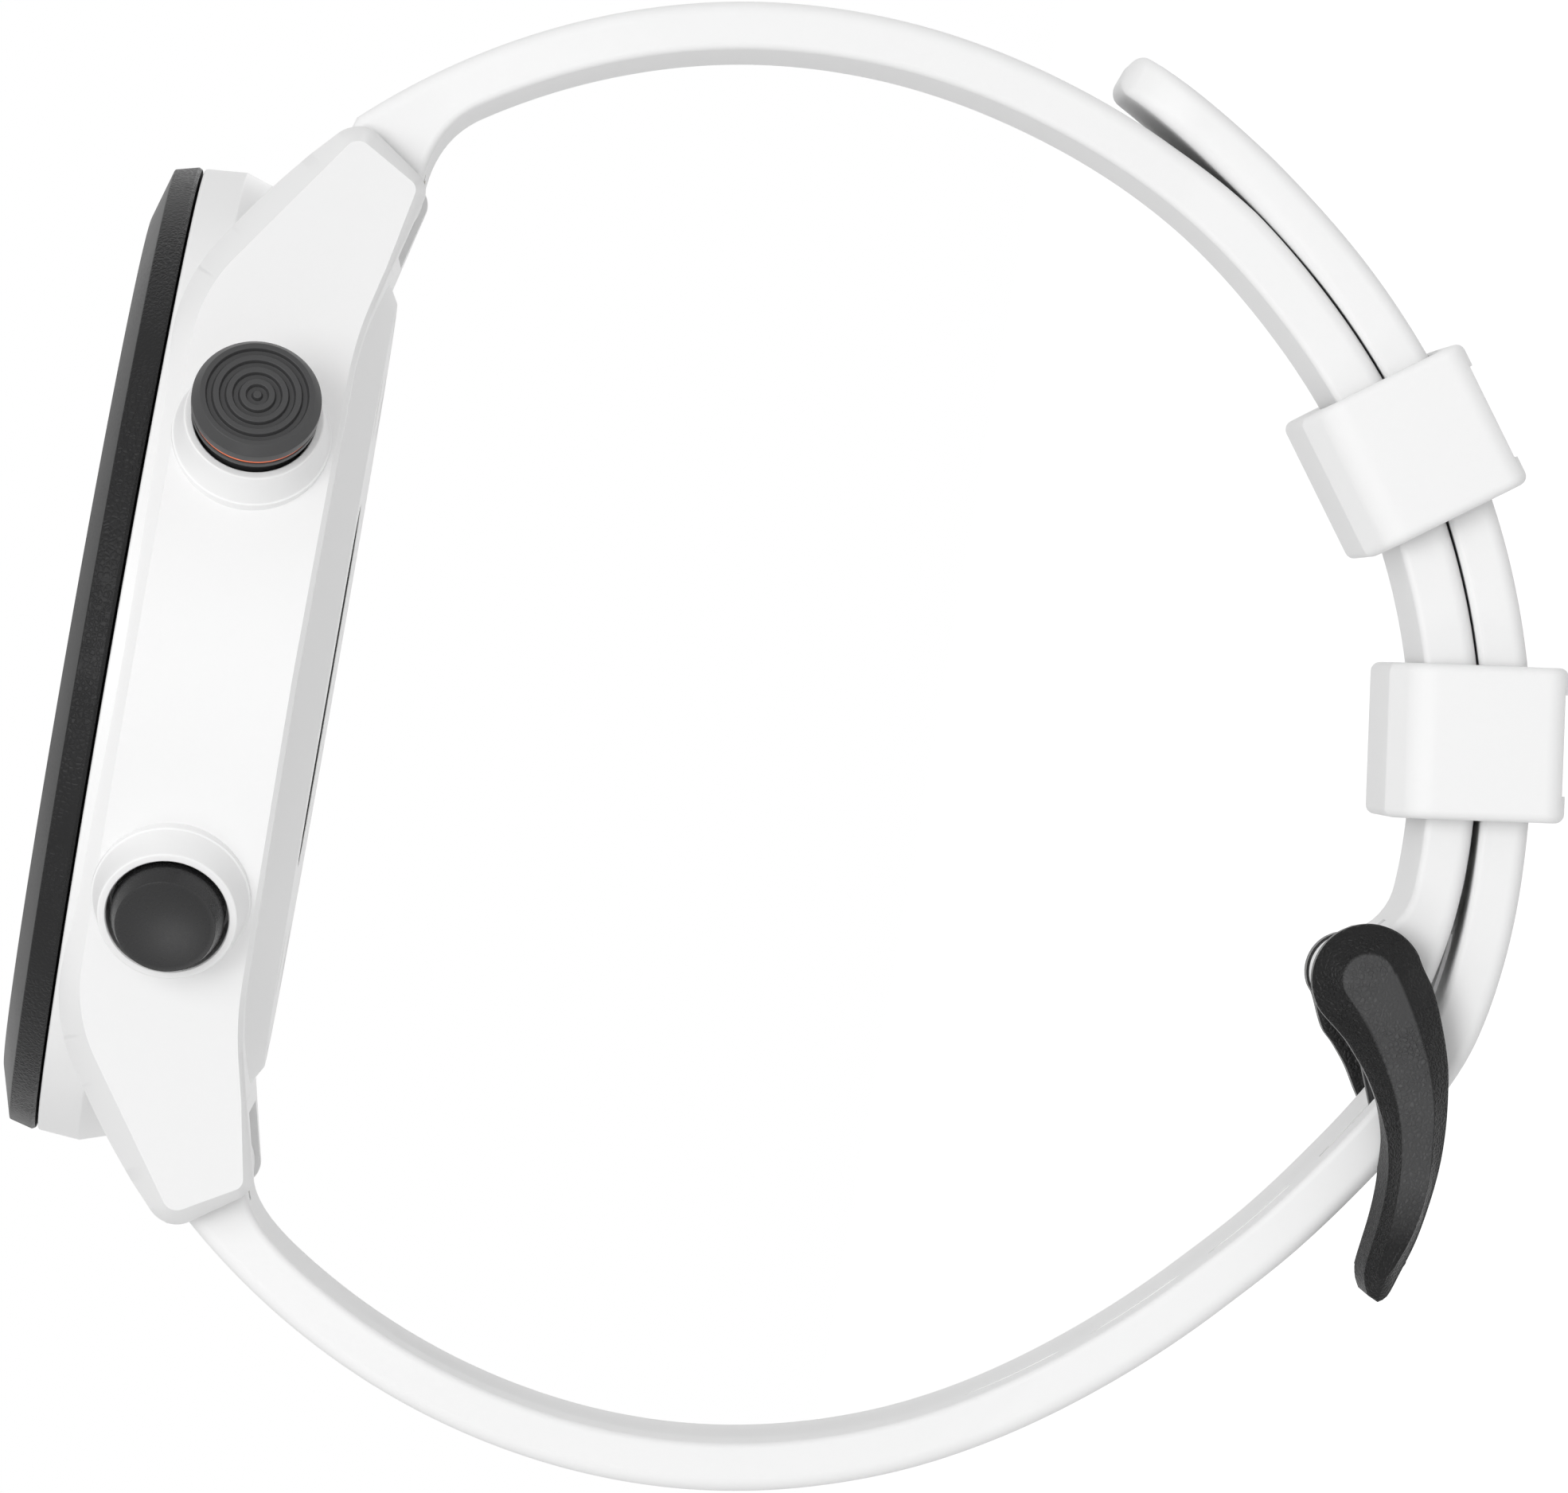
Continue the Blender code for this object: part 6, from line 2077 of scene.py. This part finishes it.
    def near_arm(self) -> Piece:
        """The near arm: a raised facet that follows the horn, with slopes down to its edge, and a painted
        highlight on the facet.

        Returns:
            The solid.
        """
        edge = self.loop(self.edge_out, self.edge_in, self.cap_radius, 0.0)
        facet = self.loop(self.facet_out, self.facet_in, self.facet_cap, 0.0)
        normals = inward_normals(edge)
        shape = bmesh.new()
        # The facet mark paints a highlight: a lighter colour on the raised facet and the leaning flank
        highlight_mark = shape.verts.layers.float.new("facet")
        low, high = self.outer_x - self.slope_drop, self.outer_x
        rows = []
        # The flank towards the wrist leans out below the strap, so it shows beside the horn
        lean = [Vector((0, 0))] * len(edge)
        tip = self.edge_points - 1
        for i in range(tip, len(edge)):
            share = clamped((self.lean_end - i) / self.lean_fade)
            lean[i] = (Vector((LOOP.y, LOOP.z)) - edge[i]).normalized() * self.flank_lean * share
        for x, inset, leaning in (
            (self.inner_x, 0.12, 1.0),
            (self.inner_x + 0.12 * MM, 0.0, 1.0),
            (low - 0.3 * MM, 0.0, 0.08),
            (low - 0.1 * MM, 0.0, 0.0),
            (low, 0.07, 0.0),
        ):
            rows.append([(x, *(p + n * inset * MM + m * leaning)) for p, n, m in zip(edge, normals, lean)])
        rows.append([(high - 0.03 * MM, *(q.lerp(p, 0.06))) for p, q in zip(edge, facet)])
        rows.append([(high, *(q.lerp(p, -0.04))) for p, q in zip(edge, facet)])
        made = [[shape.verts.new(p) for p in row] for row in rows]
        for one, two in zip(made, made[1:]):
            bridge(shape, one, two)
        # The leaning flank gets part of the painted highlight
        for row in made[:3]:
            for vert, leaning in zip(row, lean):
                vert[highlight_mark] = 0.8 * leaning.length / self.flank_lean
        top = made[-1]
        # The facet gets the painted highlight, which fades out towards the tip
        for i, vert in enumerate(top):
            vert[highlight_mark] = clamped((abs(i - tip - 0.5) - 8) / 14)
        for i in range(tip):
            corners = (top[i], top[i + 1], top[-i - 1], top[-i])
            shape.faces.new(list(dict.fromkeys(corners)))
        shape.faces.new(made[0])
        return object_of("buckle_near_arm", shape)

    def far_arm(self) -> Piece:
        """The far arm: plainer and slimmer, with eased edges.

        Returns:
            The solid.
        """
        edge = self.loop(self.edge_out[:-1], self.edge_in[2:], self.eye_radius, self.far_slim)
        normals = inward_normals(edge)
        shape = bmesh.new()
        rows = []
        for inset, back in quarter(4):
            rows.append((self.outer_x - self.far_ease * MM * back, self.far_ease * inset))
        rows.append((self.inner_x + 0.15 * MM, 0.0))
        rows.append((self.inner_x, 0.15))
        made = []
        for x, inset in rows:
            made.append([shape.verts.new((-x, *(p + n * inset * MM))) for p, n in zip(edge, normals)])
        capped(shape, made)
        return object_of("buckle_far_arm", shape)

    def tip_bar(self) -> Piece:
        """The bar between the arms' tips, with rounded edges and a notch for the tongue.

        Returns:
            The solid.
        """
        frame = LOOP.frame(self.tip_angle) @ Matrix.Translation((0, 0, -LOOP.radius - self.tip_rise))
        outline = rounded_box(*self.tip_half, self.tip_round, 5)
        shape = bmesh.new()
        rows = []
        # The bar climbs a little towards the slimmer far arm
        for x, lift in self.tip_ends:
            rows.append([shape.verts.new(frame @ Vector((x * MM, p.x, p.y + lift * MM))) for p in outline])
        capped(shape, rows)
        bar = object_of("tip_bar", shape)
        notch = block(self.notch)
        notch.data.transform(frame @ Matrix.Translation((0, 0, -self.notch_lift)))
        return combine(bar, notch, Merge.CUT)

    def build(self, wardrobe: Wardrobe) -> None:
        """Build the buckle and dress it.

        Args:
            wardrobe: The materials of the watch.
        """
        frame = combine(self.near_arm(), self.tip_bar(), Merge.JOIN)
        combine(frame, self.far_arm(), Merge.JOIN)
        combine(frame, rod("bar_hole", BUCKLE_BAR_HOLE, self.bar(), self.pivot_hole_half), Merge.CUT)
        frame.name = "buckle_horns"
        shaded(cleaned(frame), 20.0, weighted=True)
        wardrobe.dress(frame, BUCKLE_BLACK, "buckle", ["buckle_frame"])
        bar = shaded(rod("buckle_pivot", self.pivot_radius, self.bar(), self.pivot_half))
        wardrobe.dress(bar, DARK_STEEL, "buckle", ["buckle_bar"])
        tongue = shaded(self.tongue(), 40.0, weighted=True)
        wardrobe.dress(tongue, DARK_STEEL, "tongue", ["buckle_tongue"])

    def tongue(self) -> Piece:
        """The tongue: a strip with rounded edges on a ring round the pivot bar.

        Returns:
            The solid.
        """
        count = 40
        points = smooth_line([LOOP.point(angle, rise * MM) for angle, rise in self.tongue_line], count)
        section = rounded_box(*self.tongue_half, self.tongue_round, 4)
        thinning = (1.0,) * (count - len(self.tongue_tip)) + self.tongue_tip
        shape = bmesh.new()
        rows = []
        for i, (point, thin) in enumerate(zip(points, thinning)):
            along = (points[min(i + 1, count - 1)] - points[max(i - 1, 0)]).normalized()
            across = Vector((-along.y, along.x))
            rows.append([shape.verts.new((p.x * thin, *(point + across * p.y * thin))) for p in section])
        capped(shape, rows)
        strip = object_of("tongue_strip", shape)
        corners = [(1.05, 0.9, 0.0), (1.8, 0.9, 0.15), (1.8, -0.9, 0.15), (1.05, -0.9, 0.0)]
        place = Matrix.Translation((0, *self.bar())) @ Matrix.Rotation(pi / 2, 4, "Y")
        ring = turned("buckle_pin", [p * MM for p in filleted(corners)], 48, place)
        return cleaned(combine(ring, strip, Merge.JOIN))


# Stage


@dataclass(frozen=True)
class Lamp:
    """A soft square lamp."""

    name: str
    at: Triple
    size: float
    power: float


@dataclass
class Studio:
    """The camera, the floor and the light."""

    camera_at: Triple = (0.736, 0.003065, -0.00686)
    aim: Triple = (0.0, 0.0008, -0.02049)
    up: Triple = (0.0, 0.985, 0.172)
    lens: float = 376.6
    sensor: float = 36.0
    clip: Pair = (0.01, 10.0)
    floor_z: float = -0.0712
    floor_radius: float = 1.6
    floor_sides: int = 96
    floor_tone: float = 0.82
    floor_roughness: float = 0.9
    floor_glow: float = 0.48
    # The direction that the surround's light leans to, and its strength against it and along it
    light_lean: Triple = (0.8, 0.3, 0.25)
    light_levels: Pair = (0.4, 0.79)
    lamps: tuple[Lamp, ...] = (
        Lamp("front_lamp", (0.84, 0.04, 0.44), 0.5, 3.4),
        Lamp("low_lamp", (0.62, -0.74, 0.08), 0.22, 0.4),
        Lamp("back_lamp", (-0.6, 0.4, -0.3), 0.6, 2.5),
    )

    def camera(self) -> None:
        """Place the camera at the photograph's viewing angle."""
        data = bpy.data.cameras.new("view")
        data.lens = self.lens
        data.sensor_width = self.sensor
        data.clip_start, data.clip_end = self.clip
        obj = bpy.data.objects.new("view", data)
        bpy.context.scene.collection.objects.link(obj)
        at = Vector(self.camera_at)
        back = (at - Vector(self.aim)).normalized()
        right = Vector(self.up).cross(back).normalized()
        turn = Matrix((right, back.cross(right), back)).transposed()
        obj.matrix_world = Matrix.Translation(at) @ turn.to_4x4()
        bpy.context.scene.camera = obj

    def light(self, lamp: Lamp) -> None:
        """Add a lamp that points at the watch.

        Args:
            lamp: The lamp's place, size and power.
        """
        data = bpy.data.lights.new(lamp.name, "AREA")
        data.size = lamp.size
        data.energy = lamp.power
        obj = bpy.data.objects.new(lamp.name, data)
        bpy.context.scene.collection.objects.link(obj)
        at = Vector(lamp.at)
        turn = (at - Vector(self.aim)).to_track_quat("Z", "Y").to_matrix().to_4x4()
        obj.matrix_world = Matrix.Translation(at) @ turn

    def world(self) -> None:
        """Make a white surround for the eye and gloss, and a soft light, stronger from front and above."""
        world = bpy.data.worlds.new("studio")
        bpy.context.scene.world = world
        world.use_nodes = True
        tree = world.node_tree
        tree.nodes.clear()
        place = added(tree, "TexCoord", {})
        inputs = {0: place.outputs["Generated"], 1: self.light_lean}
        lean = added(tree, "VectorMath", inputs, operation="DOT_PRODUCT")
        low, high = self.light_levels
        inputs = {"Value": lean.outputs["Value"], "From Min": -1.0, "To Min": low, "To Max": high}
        level = added(tree, "MapRange", inputs)
        white = (1, 1, 1, 1)
        light = added(tree, "Background", {"Color": white, "Strength": level.outputs["Result"]})
        plain = added(tree, "Background", {"Color": white})
        inputs = {"Fac": self.seen(tree), 1: light.outputs[0], 2: plain.outputs[0]}
        mix = added(tree, "MixShader", inputs)
        added(tree, "OutputWorld", {"Surface": mix.outputs[0]})

    def seen(self, tree: ShaderTree) -> Socket:
        """Tell the rays that show the surround from those that light the watch.

        Args:
            tree: The tree that gets the nodes.

        Returns:
            A socket that is 1 for camera, glossy and transmission rays, and 0 for others.
        """
        path = added(tree, "LightPath", {})
        total = path.outputs["Is Camera Ray"]
        for name in ("Is Glossy Ray", "Is Transmission Ray"):
            total = maths(tree, "MAXIMUM", total, path.outputs[name])
        return total

    def floor(self) -> None:
        """A pale floor below the watch, which takes its shadow."""
        shape = bmesh.new()
        place = Matrix.Translation((0, 0, self.floor_z))
        size = {"segments": self.floor_sides, "radius": self.floor_radius}
        bmesh.ops.create_circle(shape, cap_ends=True, matrix=place, **size)
        floor = object_of("floor", shape, outward=False)
        made = bpy.data.materials.new("floor_pale")
        made.use_nodes = True
        tree = made.node_tree
        shader = tree.nodes["Principled BSDF"]
        colour = (*[self.floor_tone] * 3, 1)
        filled(tree, shader, {"Base Color": colour, "Roughness": self.floor_roughness})
        glow = added(tree, "Emission", {"Strength": self.floor_glow})
        lit = added(tree, "AddShader", {0: shader.outputs[0], 1: glow.outputs[0]})
        inputs = {"Fac": self.seen(tree), 1: shader.outputs[0], 2: lit.outputs[0]}
        mix = added(tree, "MixShader", inputs)
        filled(tree, tree.nodes["Material Output"], {"Surface": mix.outputs[0]})
        floor.data.materials.append(made)

    def build(self) -> None:
        """Set up the whole stage."""
        bpy.context.scene.view_settings.view_transform = "Standard"
        self.camera()
        self.floor()
        self.world()
        for lamp in self.lamps:
            self.light(lamp)


def dress_hidden(frame: dict, wardrobe: Wardrobe) -> None:
    """Give each node that still shows the finish of its material slot.

    Args:
        frame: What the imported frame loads.
        wardrobe: The materials of the watch.
    """
    for name, obj in frame["nodes"].items():
        if obj.hide_render:
            continue
        current = obj.material_slots[0].material.name.split(".")[0]
        slot = next((s for s in Slot if s.value == current), Slot.STEEL)
        obj.material_slots[0].material = wardrobe.get(SLOT_FINISHES[slot])
        LOG.info("%s: kept, in %s", name, slot.value)


def main() -> None:
    """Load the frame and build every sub-assembly round it."""
    logging.basicConfig(level=logging.INFO, format="%(name)s: %(message)s")
    for obj in list(bpy.data.objects):
        bpy.data.objects.remove(obj)
    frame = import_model()
    wardrobe = Wardrobe()
    copies = CopiesTree()
    Studio().build()
    WatchCase().build(wardrobe)
    FrontGlass().build(wardrobe)
    CaseBack().build(wardrobe, copies)
    for name, angle in BUTTON_ANGLES.items():
        SideButton(name, angle).build(wardrobe)
    StrapPair().build(wardrobe, copies)
    for place, angle, tilt in (("upper", 33.8, 2.4), ("lower", 10.2, -2.4)):
        Keeper(place, angle, tilt).build(wardrobe)
    TangBuckle().build(wardrobe)
    dress_hidden(frame, wardrobe)


if __name__ == "__main__":
    main()
